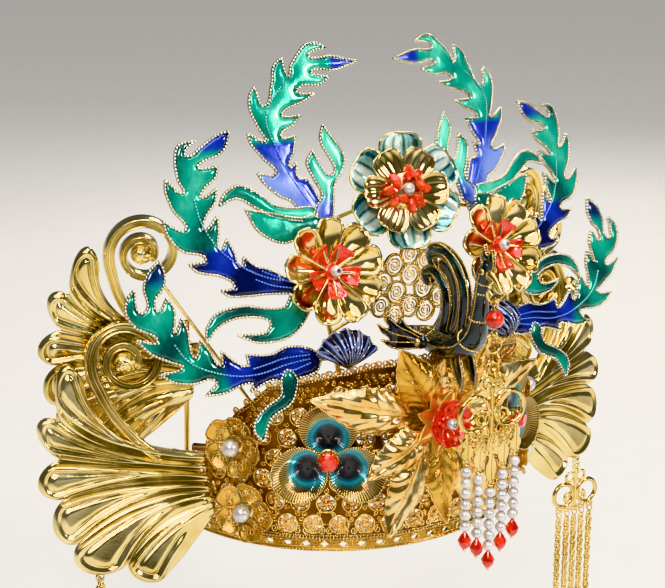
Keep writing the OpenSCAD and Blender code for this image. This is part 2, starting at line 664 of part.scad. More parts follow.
gold_flower_d = 33;
top_gold_lift = 3.6;
top_stone_lift = 5.4;
top_bead_d = 5;
module top_flower_enamel() {
    color(teal) on_axes(top_flower_at, top_flower_axes) union() {
        blossom(6, top_flower_d, 16, 0.94, 3, 2.4);
        translate([0, 0, -top_flower_stem]) cylinder(d = 3, h = top_flower_stem);
        cylinder(d = post_d, h = top_stone_lift + 6);
    }
}
module top_flower_gold() {
    color(gold) on_axes(top_flower_at, top_flower_axes) difference() {
        translate([0, 0, top_gold_lift]) blossom(6, gold_flower_d, 11, 0.94, 3.5, 1.8, 30);
        translate([0, 0, -5]) cylinder(d = post_hole_d, h = 20);
    }
}
module top_flower_stones() {
    color(red) on_axes(top_flower_at, top_flower_axes)
        translate([0, 0, top_stone_lift]) {
            difference() {
                cylinder(d = 14.5, h = 1.2);
                translate([0, 0, -5]) cylinder(d = post_hole_d, h = 20);
            }
            for (i = [0:6])
                rotate([0, 0, i * 360 / 7]) translate([6.6, 0, 0.4]) rotate([0, 22, 0])
                    cut_stone(5.6, 4.6);
        }
}
module top_flower_bead() {
    color(pearl_white) on_axes(top_flower_at, top_flower_axes)
        translate([0, 0, top_stone_lift + 1.2 + seat + top_bead_d / 2])
            bead(top_bead_d, post_hole_d);
}

// Shell bud: a fluted half dome with its hinge at the foot
bud_w = 22;
bud_h = 16;
bud_fan = 62;
module shell_bud(s) {
    color(blue) side(s) {
        on_axes(bud_at, bud_axes) loft([
            for (i = [0:5])
                let (
                    t = i / 5, reach = bud_h * (0.16 + 0.84 * t),
                    front = [for (j = [-6:6])
                        [reach * sin(j / 6 * bud_fan) * bud_w / bud_h * 0.62,
                            reach * cos(j / 6 * bud_fan) - bud_h / 2,
                            7 * sin(25 + 135 * t) * (1 - j * j / 50) + (j % 2 == 0 ? 0.9 : 0) * t]]
                )
                concat(front, reversed([for (p = front) [p[0], p[1], -0.8]]))
        ]);
        wire(bud_stem_foot, bud_at - 0.6 * bud_axes[2], 2);
    }
}

// Front spray: ten curved leaves round a boss. Rows of [angle, length, width, lift]
spray_leaves = [
    [16, 58, 19, 0], [58, 42, 17, 2.4], [90, 28, 13, 0], [122, 42, 17, 2.4], [164, 58, 19, 0],
    [208.5, 40, 17, 4], [240, 53, 18, 0], [270, 44, 15, 2.4], [300, 53, 18, 0],
    [331.5, 40, 17, 4]
];
spray_shape = [[0.1, 0.26], [0.28, 0.74], [0.48, 1], [0.68, 0.84], [0.86, 0.46], [1, 0.06]];
spray_x = -4.5;
spray_z = 0.7 * panel_front_h;
boss_d = 14;
boss_t = 2.2;
spray_r = panel_r + seat + boss_t;
flower_axes = facing(0, 6);
flower_at = [spray_x, -spray_r - 1.5, spray_z];
// A point above the crown's round side, from the spray's centre: along, across and out
function spray_point(a, along, across, out) =
    let (x = spray_x + along * cos(a) - across * sin(a), z = spray_z + along * sin(a) + across * cos(a))
    [x, -sqrt(pow(spray_r + out, 2) - x * x), z];
module spray_leaf(a, l, w, lift) {
    loft([
        for (row = spray_shape)
            let (
                out = lift * (1 - 0.4 * row[0]) + 11.5 * l / 64 * row[0] + 2.6 * sin(180 * row[0]),
                front = [for (j = [-2:2])
                    spray_point(a, l * row[0], j / 4 * w * row[1],
                        out + (j % 2 == 0 ? 1 - j * j / 4 : 0.1) * row[1])],
                back = [for (j = [-2:2])
                    spray_point(a, l * row[0], j / 4 * w * row[1],
                        out + (j % 2 == 0 ? 1 - j * j / 4 : 0.1) * row[1] - petal_t)]
            )
            concat(front, reversed(back))
    ]);
}
module leaf_spray() {
    color(gold) union() {
        for (leaf = spray_leaves)
            spray_leaf(leaf[0], leaf[1] * spray_leaf_l / 64, leaf[2], leaf[3]);
        translate([spray_x, 0, spray_z]) rotate([90, 0, 0])
            translate([0, 0, spray_r - boss_t]) cylinder(d = boss_d, h = boss_t + 4.6);
        on_axes(flower_at, flower_axes) translate([0, 0, -2]) cylinder(d = post_d, h = heart_lift + 10);
    }
}
calyx_lift = 5.8;
heart_lift = 7.4;
front_bead_d = 5;
module star_calyx() {
    color(pale_gold) on_axes(flower_at, flower_axes) translate([0, 0, calyx_lift]) difference() {
        union() {
            for (i = [0:7])
                rotate([0, 0, i * 45 + 22.5]) rotate([8, 0, 0]) linear_extrude(1)
                    polygon([[-3, 0], [3, 0], [2.6, 7], [0, 15], [-2.6, 7]]);
            cylinder(d = 9, h = 1.2);
        }
        translate([0, 0, -5]) cylinder(d = post_hole_d, h = 20);
    }
}
module front_heart() {
    color(red) on_axes(flower_at, flower_axes) translate([0, 0, heart_lift]) difference() {
        union() {
            for (i = [0:5])
                rotate([0, 0, i * 60]) flat_petal(front_heart_d / 2, 8.6, 1.4, 24);
            cylinder(d = 7, h = 3);
        }
        translate([0, 0, -5]) cylinder(d = post_hole_d, h = 20);
    }
}
module front_bead() {
    color(pearl_white) on_axes(flower_at, flower_axes)
        translate([0, 0, heart_lift + 3 + seat + front_bead_d / 2]) bead(front_bead_d, post_hole_d);
}

// Enamel flower of three round cups on the panel: turns of its cups
cup_turns = [208, 90, 332];
cup_share = 0.46;
enamel_boss_t = 4;
module enamel_flower_place(s) {
    side(s) on_axes(
        round_point(enamel_flower_turn, panel_r + seat, enamel_flower_z), facing(enamel_flower_turn, 0))
        children();
}
module enamel_flower(s) {
    cup_d = cup_share * enamel_flower_d;
    color(navy) enamel_flower_place(s) union() {
        cylinder(d = 9, h = enamel_boss_t);
        cylinder(d = post_d, h = enamel_boss_t + 3);
        for (i = [0:2])
            rotate([0, 0, cup_turns[i]]) translate([enamel_flower_d / 2 - cup_d / 2 + 0.5, 0, 1.4 + 0.6 * i])
                rotate([0, -12, 0]) rotate_extrude() polygon([
                    [0, 0], [cup_d * 0.2, 0.25], [cup_d * 0.36, 1.1], [cup_d * 0.46, 2.4],
                    [cup_d / 2, 3.6], [cup_d / 2 - 0.8, 3.9], [cup_d * 0.43, 2.9], [cup_d * 0.33, 1.9],
                    [cup_d * 0.18, 1.1], [0, 0.9]
                ]);
    }
}
setting_stone_h = 5.6;
module setting_stone(s) {
    color(red) enamel_flower_place(s) difference() {
        translate([0, 0, enamel_boss_t + seat]) cut_stone(setting_stone_d, setting_stone_h);
        cylinder(d = post_hole_d, h = enamel_boss_t + 3 + seat);
    }
}

// Filigree flowers that hold the large pearls beside the wings
pearl_boss_t = 2.6;
pearl_post_l = 5;
module pearl_flower_place(i, s) {
    side(s) on_axes(
        round_point(pearl_flower_turns[i], panel_r + seat, pearl_flower_heights[i]),
        facing(pearl_flower_turns[i], 0)) children();
}
module pearl_flower(i, s) {
    color(gold) pearl_flower_place(i, s) union() {
        cylinder(d = 9, h = pearl_boss_t);
        cylinder(d = post_d, h = pearl_boss_t + pearl_post_l);
        for (k = [0:4])
            rotate([0, 0, k * 72 + 18]) translate([0, 2, pearl_boss_t - 1.4])
                flat_petal(pearl_flower_d / 2 - 2, 11.5 * pearl_flower_d / 27, 1, 14);
    }
}
module large_pearl(i, s) {
    color(pearl_white) pearl_flower_place(i, s)
        translate([0, 0, pearl_boss_t + seat + large_pearl_d / 2]) difference() {
            sphere(d = large_pearl_d);
            translate([0, 0, -large_pearl_d]) cylinder(
                d = post_hole_d, h = large_pearl_d / 2 + pearl_post_l + seat);
        }
}

// Phoenix: everything is measured from its peg, [back, up], on the crown's middle plane
phoenix_at = [0, 2.7 - panel_r, panel_front_h];
phoenix_scale = phoenix_l / 44;
// Spine from the tail to the crown of the head: [back, up, half width, half depth]
phoenix_spine = [
    [25, 5, 1.6, 1.6], [16, 5.5, 4.4, 3.6], [3, 7, 7, 5], [-11, 8, 8, 5.6], [-22, 11, 7, 5.6],
    [-28, 17.5, 4.8, 4.6], [-30.5, 27, 3.5, 3.4], [-31.5, 36, 2.9, 3], [-33.5, 43, 3.3, 3.6],
    [-35.5, 48, 2, 2.2]
];
phoenix_beak = [[-34, 44, 2.2, 2.6], [-40.3, 41.2, 1.3, 2.3], [-44.5, 37.5, 0.5, 0.7]];
// Outlines of the arched plumes, the crest and the breast drops, as [back, up, corner]
outer_plume = [
    [-20, 12, 0], [-23, 22, 0], [-23.5, 33, 0], [-18, 43, 0], [-9, 48, 0], [1, 48.5, 0], [6, 44, 0],
    [4, 39, 0], [-1, 38, 0], [1, 42, 0], [-7, 43, 0], [-14, 38, 0], [-17, 30, 0], [-16, 20, 0],
    [-12, 10, 0]
];
inner_plume = [
    [-7, 9, 0], [-11, 18, 0], [-12, 26, 0], [-9, 34, 0], [-2, 38.5, 0], [5, 38, 0], [9, 34, 0],
    [6, 30, 0], [2, 31, 0], [3, 33.5, 0], [-2, 33, 0], [-5, 28, 0], [-5, 20, 0], [1, 8, 0]
];
crest = [
    [-33, 44, 0], [-31, 50, 0], [-33, 55, 1], [-35, 51, 0], [-38, 54, 1], [-39, 48, 0], [-37, 44, 0]
];
// Tube of eight-sided rings along a line in the crown's middle plane
module spine_tube(rows) {
    last = len(rows) - 1;
    loft([
        for (i = [0:last])
            let (
                r = rows[i], d = unit(spot(rows[min(i + 1, last)]) - spot(rows[max(i - 1, 0)])),
                ring = [for (k = [0:9])
                    let (c = cos(k * 36), v = sin(k * 36) * r[3])
                    [r[2] * c, r[0] - v * d[1], r[1] + v * d[0]]]
            )
            ring
    ]);
}
module plume(rows, t) {
    rotate([90, 0, 90]) translate([0, 0, -t / 2]) linear_extrude(t) polygon(outline(rows, 3));
}
phoenix_pin = [-5, 9];
phoenix_pin_x = 9.4;
phoenix_pin_l = 3.4;
beak_hole = [-40.3, 41.2];
beak_hole_d = 2;
module phoenix_body() {
    color(navy) translate(phoenix_at) difference() {
        union() {
            scale(phoenix_scale) {
                spine_tube(phoenix_spine);
                plume(outer_plume, 2.4);
                plume(inner_plume, 3.2);
                plume(crest, 1.8);
                for (x = [-3.4, 3.4])
                    translate([x, 0, 0]) plume([[-16, 9, 0], [-17, 2, 0], [-20, -4, 0],
                        [-24, -9, 1], [-25, -2, 0], [-23, 4, 0], [-21, 10, 0]], 1.6);
            }
            scale(phoenix_scale) spine_tube(phoenix_beak);
            translate([0, 0, seat]) cylinder(d = 3, h = 5);
            translate([0, phoenix_pin[0], phoenix_pin[1]] * phoenix_scale) rotate([0, 90, 0])
                cylinder(d = 2, h = 2 * phoenix_scale * (phoenix_pin_x + phoenix_pin_l), center = true);
        }
        translate([0, beak_hole[0], beak_hole[1]] * phoenix_scale) rotate([0, 90, 0])
            cylinder(d = beak_hole_d, h = 20, center = true);
    }
}
// Wing of the phoenix: a plate with four feather ends on a collar, [along, up, corner]
bird_wing = [
    [-3, -2.6, 0], [5, -3.4, 0], [14, -4, 0], [24, -3, 0], [32, 1, 1], [25, 1, 0], [31, 5, 0],
    [35, 9.5, 1], [26, 7, 0], [28, 11, 0], [28, 15, 1], [20, 10.5, 0], [17, 14, 1], [12, 9, 0],
    [5, 5.5, 0], [-2, 3, 0]
];
module phoenix_wing(s) {
    turn = 32;
    color(navy) side(s) translate(phoenix_at)
        translate([phoenix_pin_x, phoenix_pin[0], phoenix_pin[1]] * phoenix_scale) difference() {
            union() {
                rotate([0, 90, 0]) cylinder(d = 6, h = 2.4 * phoenix_scale);
                translate([1.2 * phoenix_scale, 0, 0]) rotate([90, 0, turn])
                    translate([0, 0, -0.7]) linear_extrude(1.4)
                        polygon(outline([for (r = bird_wing)
                            [r[0] * phoenix_scale * 0.52, r[1] * phoenix_scale * 0.8, r[2]]], 3));
            }
            translate([-5, 0, 0]) rotate([0, 90, 0]) cylinder(d = 2.6, h = 5 + 3.7 * phoenix_scale);
        }
}

// Chain of rings below the beak. A standing ring faces the front, a turned ring faces the side
beak_loop_d = 9.2;
loop_wire_d = 1;
eye_wire_d = 0.9;
hang_at = phoenix_at + [0, beak_hole[0], beak_hole[1]] * phoenix_scale;
hang_pivot = hang_at - [0, 0, beak_loop_d - loop_wire_d];
module standing_ring(d, wire_d) {
    rotate([90, 0, 0]) wire_ring(d, wire_d);
}
module turned_ring(d, wire_d) {
    rotate([0, 90, 0]) wire_ring(d, wire_d);
}
module beak_loop() {
    color(gold) translate(hang_at - [0, 0, (beak_loop_d - loop_wire_d) / 2])
        standing_ring(beak_loop_d, loop_wire_d);
}
// Centres of two linked wires lie this far apart where the rings hang in each other
link_step = (loop_wire_d + eye_wire_d) / 2 + 0.35;
pendant_eye_d = 4.6;
pendant_bead_d = 7.5;
jump_ring_d = 8;
link_d = 8;
eye_drop = (pendant_eye_d - eye_wire_d) / 2;
upper_eye_z = link_step - eye_drop;
pendant_bead_z = upper_eye_z - eye_drop - eye_wire_d / 2 - 0.4 - pendant_bead_d / 2;
lower_eye_z = pendant_bead_z - pendant_bead_d / 2 - 0.4 - eye_wire_d / 2 - eye_drop;
jump_ring_z = lower_eye_z - eye_drop + link_step - (jump_ring_d - loop_wire_d) / 2;
link_z = jump_ring_z - (jump_ring_d - loop_wire_d) / 2 + link_step - (link_d - eye_wire_d) / 2;
module pendant_bead() {
    color(red) translate(hang_pivot + [0, 0, pendant_bead_z]) bead(pendant_bead_d, post_hole_d - 0.2);
}
module pendant_links() {
    color(gold) translate(hang_pivot) {
        union() {
            translate([0, 0, upper_eye_z]) turned_ring(pendant_eye_d, eye_wire_d);
            translate([0, 0, lower_eye_z]) turned_ring(pendant_eye_d, eye_wire_d);
            translate([0, 0, lower_eye_z + eye_drop])
                cylinder(d = 1, h = upper_eye_z - lower_eye_z - 2 * eye_drop);
        }
        translate([0, 0, jump_ring_z]) standing_ring(jump_ring_d, loop_wire_d);
        translate([0, 0, link_z]) turned_ring(link_d, eye_wire_d);
    }
}
// Cloud plate of the pendant, from the middle of its upper loop downwards
cloud_loop_d = 6;
cloud_loop_w = 1.2;
cloud_web = norm([cloud_wire_d / 2, cloud_loop_w / 2]) + seat + eye_wire_d / 2;
cloud_z = link_z - (link_d - eye_wire_d) / 2 + cloud_web - (cloud_loop_d - cloud_loop_w) / 2;
cloud_ring_x = cloud_ring_d / 2 + 0.45;
cloud_ring_z = -18.2;
tab_w = 4.2;
tab_window_d = 2.4;
string_turns = [-2, -1, 0, 1, 2];
// Lower end of each tab below the cloud's loop, and the first pearl's centre below that
tab_ends = [-39.4, -43.9, -50.8, -43.9, -39.4];
module cloud_2d() {
    hoop(cloud_loop_d, cloud_loop_w);
    for (s = [-1, 1]) {
        translate([s * 3.3, -5.6]) hoop(7.2, 1.5);
        translate([s * cloud_ring_x, cloud_ring_z]) {
            hoop(cloud_ring_d, cloud_wire_d);
            rotate(s * -60) translate([0, -cloud_ring_d * 0.26]) hoop(cloud_ring_d * 0.44, 1.5);
        }
        translate([s * 1.7 * string_step, cloud_ring_z - cloud_ring_d / 2 - 3]) hoop(8.4, 1.6);
        translate([s * 0.8 * string_step, cloud_ring_z - cloud_ring_d / 2 - 6]) hoop(8.4, 1.6);
    }
    translate([-1.2, cloud_ring_z - cloud_ring_d / 2 - 6]) square([2.4, 18 + cloud_ring_d / 2]);
    for (i = [0:4])
        translate([string_turns[i] * string_step, tab_ends[i]]) difference() {
            polygon([[-tab_w / 2, 0], [tab_w / 2, 0], [tab_w / 2, 4], [1.1, 10], [1.1, 22 - 4 * abs(i - 2)],
                [-1.1, 22 - 4 * abs(i - 2)], [-1.1, 10], [-tab_w / 2, 4]]);
            translate([0, 1.2 + tab_window_d / 2]) circle(d = tab_window_d);
        }
}
thread_d = 0.5;
knot_d = 1.6;
thread_hole_d = thread_d + 2 * seat;
module pendant_cloud() {
    color(gold) translate(hang_pivot + [0, 0, cloud_z]) difference() {
        rotate([90, 0, 0]) linear_extrude(cloud_wire_d, center = true) cloud_2d();
        for (i = [0:4])
            translate([string_turns[i] * string_step, 0, tab_ends[i] - 1])
                cylinder(d = thread_hole_d, h = 3);
    }
}
pearl_pitch = string_pearl_d + 0.12;
drop_stone_h = 1.2 * drop_stone_d;
function first_pearl(i) = hang_pivot
    + [string_turns[i] * string_step, 0, cloud_z + tab_ends[i] - seat - string_pearl_d / 2];
function string_end(i) = first_pearl(i)
    - [0, 0, (string_pearls - 1) * pearl_pitch + string_pearl_d / 2 + seat];
module pearl_string(i) {
    color(pearl_white)
        for (k = [0:string_pearls - 1])
            translate(first_pearl(i) - [0, 0, k * pearl_pitch]) bead(string_pearl_d, thread_hole_d);
}
module string_threads() {
    color(pale_gold)
        for (i = [0:4])
            let (
                top = cloud_z + hang_pivot[2] + tab_ends[i] + 1.2 + seat + knot_d / 2 - 0.1,
                foot = string_end(i) - [0, 0, drop_stone_h + seat + knot_d / 2]
            )
            union() {
                translate(foot) cylinder(d = thread_d, h = top - foot[2]);
                translate([foot[0], foot[1], top]) sphere(d = knot_d);
                translate(foot) sphere(d = knot_d);
            }
}
module string_stones() {
    color(red)
        for (i = [0:4])
            translate(string_end(i) - [0, 0, drop_stone_h]) difference() {
                cut_stone(drop_stone_d, drop_stone_h);
                translate([0, 0, -1]) cylinder(d = thread_hole_d, h = drop_stone_h + 2, $fn = 12);
            }
}

// Side tassels below the lower wings: a ring, a cloud plate and five chains
tassel_web = (eye_d - eye_hole_d) / 2;
tassel_pivot = tassel_eye_point - [0, 0, (eye_hole_d + tassel_web) / 2];
tassel_link_d = 5.8;
tassel_reach = norm([wing_t / 2, tassel_web / 2]) + seat + eye_wire_d / 2;
tassel_link_z = tassel_reach - (tassel_link_d - eye_wire_d) / 2;
tassel_plate_t = 1.6;
tassel_lug_d = 4.4;
tassel_lug_hole_d = 2.2;
tassel_lug_web = (tassel_lug_d - tassel_lug_hole_d) / 2;
tassel_lug_reach = norm([tassel_plate_t / 2, tassel_lug_web / 2]) + seat + eye_wire_d / 2;
tassel_plate_z = tassel_link_z - (tassel_link_d - eye_wire_d) / 2 + tassel_lug_reach
    - (tassel_lug_d - tassel_lug_web) / 2;
tassel_ring_x = tassel_ring_d / 2 + 0.4;
tassel_ring_z = -7 - tassel_ring_d / 2;
chain_side = 2.6;
chain_places = [-tassel_ring_x - chain_side, -tassel_ring_x + chain_side, 0,
    tassel_ring_x - chain_side, tassel_ring_x + chain_side];
chain_eye_z = tassel_ring_z - tassel_ring_d / 2 - 0.6;
module tassel_2d() {
    difference() {
        union() {
            circle(d = tassel_lug_d);
            for (s = [-1, 1]) {
                translate([s * 3.4, -4.9]) hoop(6.6, 1.5);
                translate([s * tassel_ring_x, tassel_ring_z]) {
                    hoop(tassel_ring_d, 1.8);
                    rotate(s * -60) translate([0, -tassel_ring_d * 0.26])
                        hoop(tassel_ring_d * 0.44, 1.4);
                }
            }
            translate([-1.1, chain_eye_z]) square([2.2, -chain_eye_z - 1.2]);
            for (x = chain_places)
                translate([x, chain_eye_z]) circle(d = tassel_lug_d);
        }
        circle(d = tassel_lug_hole_d);
        for (x = chain_places)
            translate([x, chain_eye_z]) circle(d = tassel_lug_hole_d);
    }
}
module tassel_cloud(s) {
    color(gold) side(s) translate(tassel_pivot) {
        translate([0, 0, tassel_link_z]) turned_ring(tassel_link_d, eye_wire_d);
        translate([0, 0, tassel_plate_z]) rotate([90, 0, 0])
            linear_extrude(tassel_plate_t, center = true) tassel_2d();
    }
}
chain_ring_d = 5;
chain_ring_wire_d = 0.8;
chain_ring_z = tassel_plate_z + chain_eye_z - (tassel_lug_hole_d + tassel_lug_web) / 2
    + norm([tassel_plate_t / 2, tassel_lug_web / 2]) + seat + chain_ring_wire_d / 2
    - (chain_ring_d - chain_ring_wire_d) / 2;
chain_bead_d = 3.4;
module tassel_chains(s) {
    color(gold) side(s) translate(tassel_pivot)
        for (x = chain_places)
            translate([x, 0, chain_ring_z]) union() {
                turned_ring(chain_ring_d, chain_ring_wire_d);
                loft([
                    for (t = [0, 0.5, 1])
                        [for (k = [0:7]) [chain_d / 2 * cos(k * 45 + 22.5),
                            chain_d / 2 * sin(k * 45 + 22.5), -2.2 - t * chain_l]]
                ]);
                translate([0, 0, -2.2 - chain_l]) sphere(d = chain_bead_d);
            }
}

base_band();
pierced_panel();
crown_frame();
lower_wing(1);  // lower_wing_left
lower_wing(-1);  // lower_wing_right
upper_wing(1);  // upper_wing_left
upper_wing(-1);  // upper_wing_right
upper_feather(1);  // upper_feather_left
upper_feather(-1);  // upper_feather_right
middle_feather(1);  // middle_feather_left
middle_feather(-1);  // middle_feather_right
lower_feather(1);  // lower_feather_left
lower_feather(-1);  // lower_feather_right
shell_bud(1);  // shell_bud_left
shell_bud(-1);  // shell_bud_right
side_flower(1);  // side_flower_left
side_flower(-1);  // side_flower_right
side_heart(1);  // side_heart_left
side_heart(-1);  // side_heart_right
side_bead(1);  // side_bead_left
side_bead(-1);  // side_bead_right
top_flower_enamel();
top_flower_gold();
top_flower_stones();
top_flower_bead();
leaf_spray();
star_calyx();
front_heart();
front_bead();
enamel_flower(1);  // enamel_flower_left
enamel_flower(-1);  // enamel_flower_right
setting_stone(1);  // setting_stone_left
setting_stone(-1);  // setting_stone_right
pearl_flower(0, 1);  // pearl_flower_upper_left
pearl_flower(0, -1);  // pearl_flower_upper_right
pearl_flower(1, 1);  // pearl_flower_lower_left
pearl_flower(1, -1);  // pearl_flower_lower_right
large_pearl(0, 1);  // large_pearl_upper_left
large_pearl(0, -1);  // large_pearl_upper_right
large_pearl(1, 1);  // large_pearl_lower_left
large_pearl(1, -1);  // large_pearl_lower_right
phoenix_body();
phoenix_wing(1);  // phoenix_wing_left
phoenix_wing(-1);  // phoenix_wing_right
beak_loop();
pendant_bead();
pendant_links();
pendant_cloud();
pearl_string(0);  // pearl_string_1
pearl_string(1);  // pearl_string_2
pearl_string(2);  // pearl_string_3
pearl_string(3);  // pearl_string_4
pearl_string(4);  // pearl_string_5
string_threads();
string_stones();
tassel_cloud(1);  // tassel_cloud_left
tassel_cloud(-1);  // tassel_cloud_right
tassel_chains(1);  // tassel_chains_left
tassel_chains(-1);  // tassel_chains_right
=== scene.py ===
"""Finish of the phoenix crown: enamel feathers in beaded gold rims, stamped wings, wire scrollwork,
petals, cut stones, pearls and fine chains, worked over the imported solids. Lengths are millimetres
until a mesh is made; the front faces -Y, +X is the wearer's left, and left pieces are mirrored."""

import bpy
import bmesh
import numpy as np
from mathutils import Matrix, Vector
from mathutils.geometry import delaunay_2d_cdt


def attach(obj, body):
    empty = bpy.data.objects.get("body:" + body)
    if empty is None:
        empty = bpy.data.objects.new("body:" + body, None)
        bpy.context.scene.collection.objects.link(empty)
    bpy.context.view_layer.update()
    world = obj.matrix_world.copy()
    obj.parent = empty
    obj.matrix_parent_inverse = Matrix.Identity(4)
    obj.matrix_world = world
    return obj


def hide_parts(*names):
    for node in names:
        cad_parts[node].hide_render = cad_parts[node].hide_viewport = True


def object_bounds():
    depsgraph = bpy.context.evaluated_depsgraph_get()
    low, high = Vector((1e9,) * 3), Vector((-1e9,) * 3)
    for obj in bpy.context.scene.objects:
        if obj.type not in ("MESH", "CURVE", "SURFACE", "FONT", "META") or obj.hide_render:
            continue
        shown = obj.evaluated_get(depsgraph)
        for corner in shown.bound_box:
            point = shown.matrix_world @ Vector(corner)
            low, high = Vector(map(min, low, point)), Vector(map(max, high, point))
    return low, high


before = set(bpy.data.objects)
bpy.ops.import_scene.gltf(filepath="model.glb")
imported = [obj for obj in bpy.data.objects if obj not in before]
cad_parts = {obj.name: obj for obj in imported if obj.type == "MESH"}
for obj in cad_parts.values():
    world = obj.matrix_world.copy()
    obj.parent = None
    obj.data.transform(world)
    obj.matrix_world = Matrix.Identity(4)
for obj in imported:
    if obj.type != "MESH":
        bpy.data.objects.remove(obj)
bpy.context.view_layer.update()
MM = 0.001
TAU = 2 * np.pi


# ---------------------------------------------------------------- camera
# The view of the picture: turn and rise of the line of sight, its length in metres and its target
VIEW_TURN, VIEW_RISE, VIEW_FAR = np.radians(31.64), np.radians(15.77), 0.739
AIM = Vector((0, 0, 0.091))
FOCUS_PIXELS, PICTURE_W, SENSOR_W = 1600, 665, 36


def set_camera():
    """Looks at the crown's middle from the wearer's right of the front and from above."""
    level_part = np.cos(VIEW_RISE)
    ahead = Vector((np.sin(VIEW_TURN) * level_part, np.cos(VIEW_TURN) * level_part, -np.sin(VIEW_RISE)))
    lens = bpy.data.cameras.new("camera")
    lens.sensor_width = SENSOR_W
    lens.lens = FOCUS_PIXELS * SENSOR_W / PICTURE_W
    lens.clip_start, lens.clip_end = 0.01, 50
    camera = bpy.data.objects.new("camera", lens)
    bpy.context.scene.collection.objects.link(camera)
    camera.location = AIM - ahead * VIEW_FAR
    camera.rotation_mode = "QUATERNION"
    camera.rotation_quaternion = ahead.to_track_quat("-Z", "Y")
    bpy.context.scene.camera = camera


# ---------------------------------------------------------------- directions and places
UP = (0, 0, 1)
# Axes of a sheet that stands upright and faces the front
STANDING = np.array([[1, 0, 0], [0, 0, 1], [0, -1, 0]])


def unit(v):
    """The same directions with a length of 1."""
    v = np.asarray(v, float)
    return v / np.linalg.norm(v, axis=-1, keepdims=True)


def facing(turn, tilt):
    """Directions of a flower that faces outward: across, up and out, for a turn round the crown."""
    a, t = np.radians(turn), np.radians(tilt)
    out = np.array([np.sin(a) * np.cos(t), -np.cos(a) * np.cos(t), np.sin(t)])
    across = np.array([np.cos(a), np.sin(a), 0])
    return np.array([across, np.cross(out, across), out])


def sheet_axes(lean, splay):
    """Directions of a leaning sheet: along it, up it and out of its front."""
    along, out = unit([1, splay, 0]), unit([splay, -1, lean])
    return np.array([along, np.cross(out, along), out])


def square_up(p, lean, splay):
    """Turns places measured level and up the slope into square sheet coordinates."""
    k = unit([1, splay, 0]) @ unit([0, lean, 1])
    return np.stack([p[..., 0] + k * p[..., 1], p[..., 1] * np.sqrt(1 - k * k)], -1)


def turned(p, degrees):
    """Turns the first two coordinates of points about the third axis."""
    a = np.radians(degrees)
    c, s = np.cos(a), np.sin(a)
    q = np.array(p, float)
    q[..., 0], q[..., 1] = p[..., 0] * c - p[..., 1] * s, p[..., 0] * s + p[..., 1] * c
    return q


def sideways(s):
    """Directions of a part that faces the wearer's left, s = 1, or right, s = -1."""
    return np.array([[0, 1, 0], [0, 0, s], [s, 0, 0]])


def placed(p, origin, axes):
    """Points given along three axes from an origin, in the crown's own directions."""
    return np.asarray(origin, float) + np.asarray(p, float) @ np.asarray(axes, float)


def ease(x, low, high):
    """0 below low, 1 above high, and a smooth rise between them."""
    t = np.clip((np.asarray(x, float) - low) / (high - low), 0, 1)
    return t * t * (3 - 2 * t)


# ---------------------------------------------------------------- curves


def around(count):
    """Equal steps of one full turn."""
    return np.arange(count) / count * TAU


def level(line, height=0.0):
    """Gives a flat line its third coordinate."""
    return np.column_stack([line, np.full(len(line), height)])


def upright(line, y):
    """Stands a line of places across and up at a depth y."""
    return np.column_stack([line[:, 0], np.full(len(line), y), line[:, 1]])


def circle(r, count, x=0.0, y=0.0):
    """Flat closed round line."""
    a = around(count)
    return np.column_stack([x + r * np.cos(a), y + r * np.sin(a)])


def spiral(r_out, r_in, turns, hand, start, count):
    """Flat curl of count points that runs inward from r_out to r_in in that many turns, the way of
    hand, 1 or -1, from the angle start. The distance falls with the 0.85th power of the way."""
    t = np.linspace(0, 1, count)
    a = start + hand * turns * TAU * t
    r = r_out + (r_in - r_out) * t**0.85
    return np.column_stack([r * np.cos(a), r * np.sin(a)])


def smooth_outline(rows, steps=8):
    """Closed line through rows of [x, y], or [x, y, 1] at a corner: cubic pieces whose end slopes
    run from the neighbour before to the neighbour after, or along the chord at a corner."""
    rows = np.array([(*row, 0)[:3] for row in rows], float)
    p, corner = rows[:, :2], rows[:, 2] == 1
    q = np.roll(p, -1, 0)
    chord = q - p
    long = np.linalg.norm(chord, axis=1, keepdims=True)
    slope = unit(q - np.roll(p, 1, 0))
    s = np.where(corner[:, None], chord, slope * long)
    e = np.where(np.roll(corner, -1)[:, None], chord, np.roll(slope, -1, 0) * long)
    t = (np.arange(steps) / steps)[:, None, None]
    line = (p * (2 * t**3 - 3 * t**2 + 1) + s * (t**3 - 2 * t**2 + t)
            + q * (3 * t**2 - 2 * t**3) + e * (t**3 - t**2))
    return line.transpose(1, 0, 2).reshape(-1, 2)


def smooth_rows(rows, count):
    """Rows of numbers blended into count rows by a cubic through each four neighbours."""
    rows = np.array(rows, float)
    x = np.linspace(0, len(rows) - 1, count)
    i = np.clip(x.astype(int), 0, len(rows) - 2)
    t = (x - i)[:, None]
    a, b = rows[np.maximum(i - 1, 0)], rows[i]
    c, d = rows[i + 1], rows[np.minimum(i + 2, len(rows) - 1)]
    return b + 0.5 * t * (c - a + t * (2 * a - 5 * b + 4 * c - d + t * (3 * (b - c) + d - a)))


def spaced(path, step, closed):
    """Points a fixed step apart along a line, measured along its length."""
    path = np.asarray(path, float)
    if closed:
        path = np.vstack([path, path[:1]])
    far = np.concatenate([[0], np.cumsum(np.linalg.norm(np.diff(path, axis=0), axis=1))])
    count = max(int(round(far[-1] / step)), 3)
    at = np.linspace(0, far[-1], count + 1)
    if closed:
        at = at[:-1]
    return np.stack([np.interp(at, far, path[:, i]) for i in range(path.shape[1])], -1)


# ---------------------------------------------------------------- surfaces


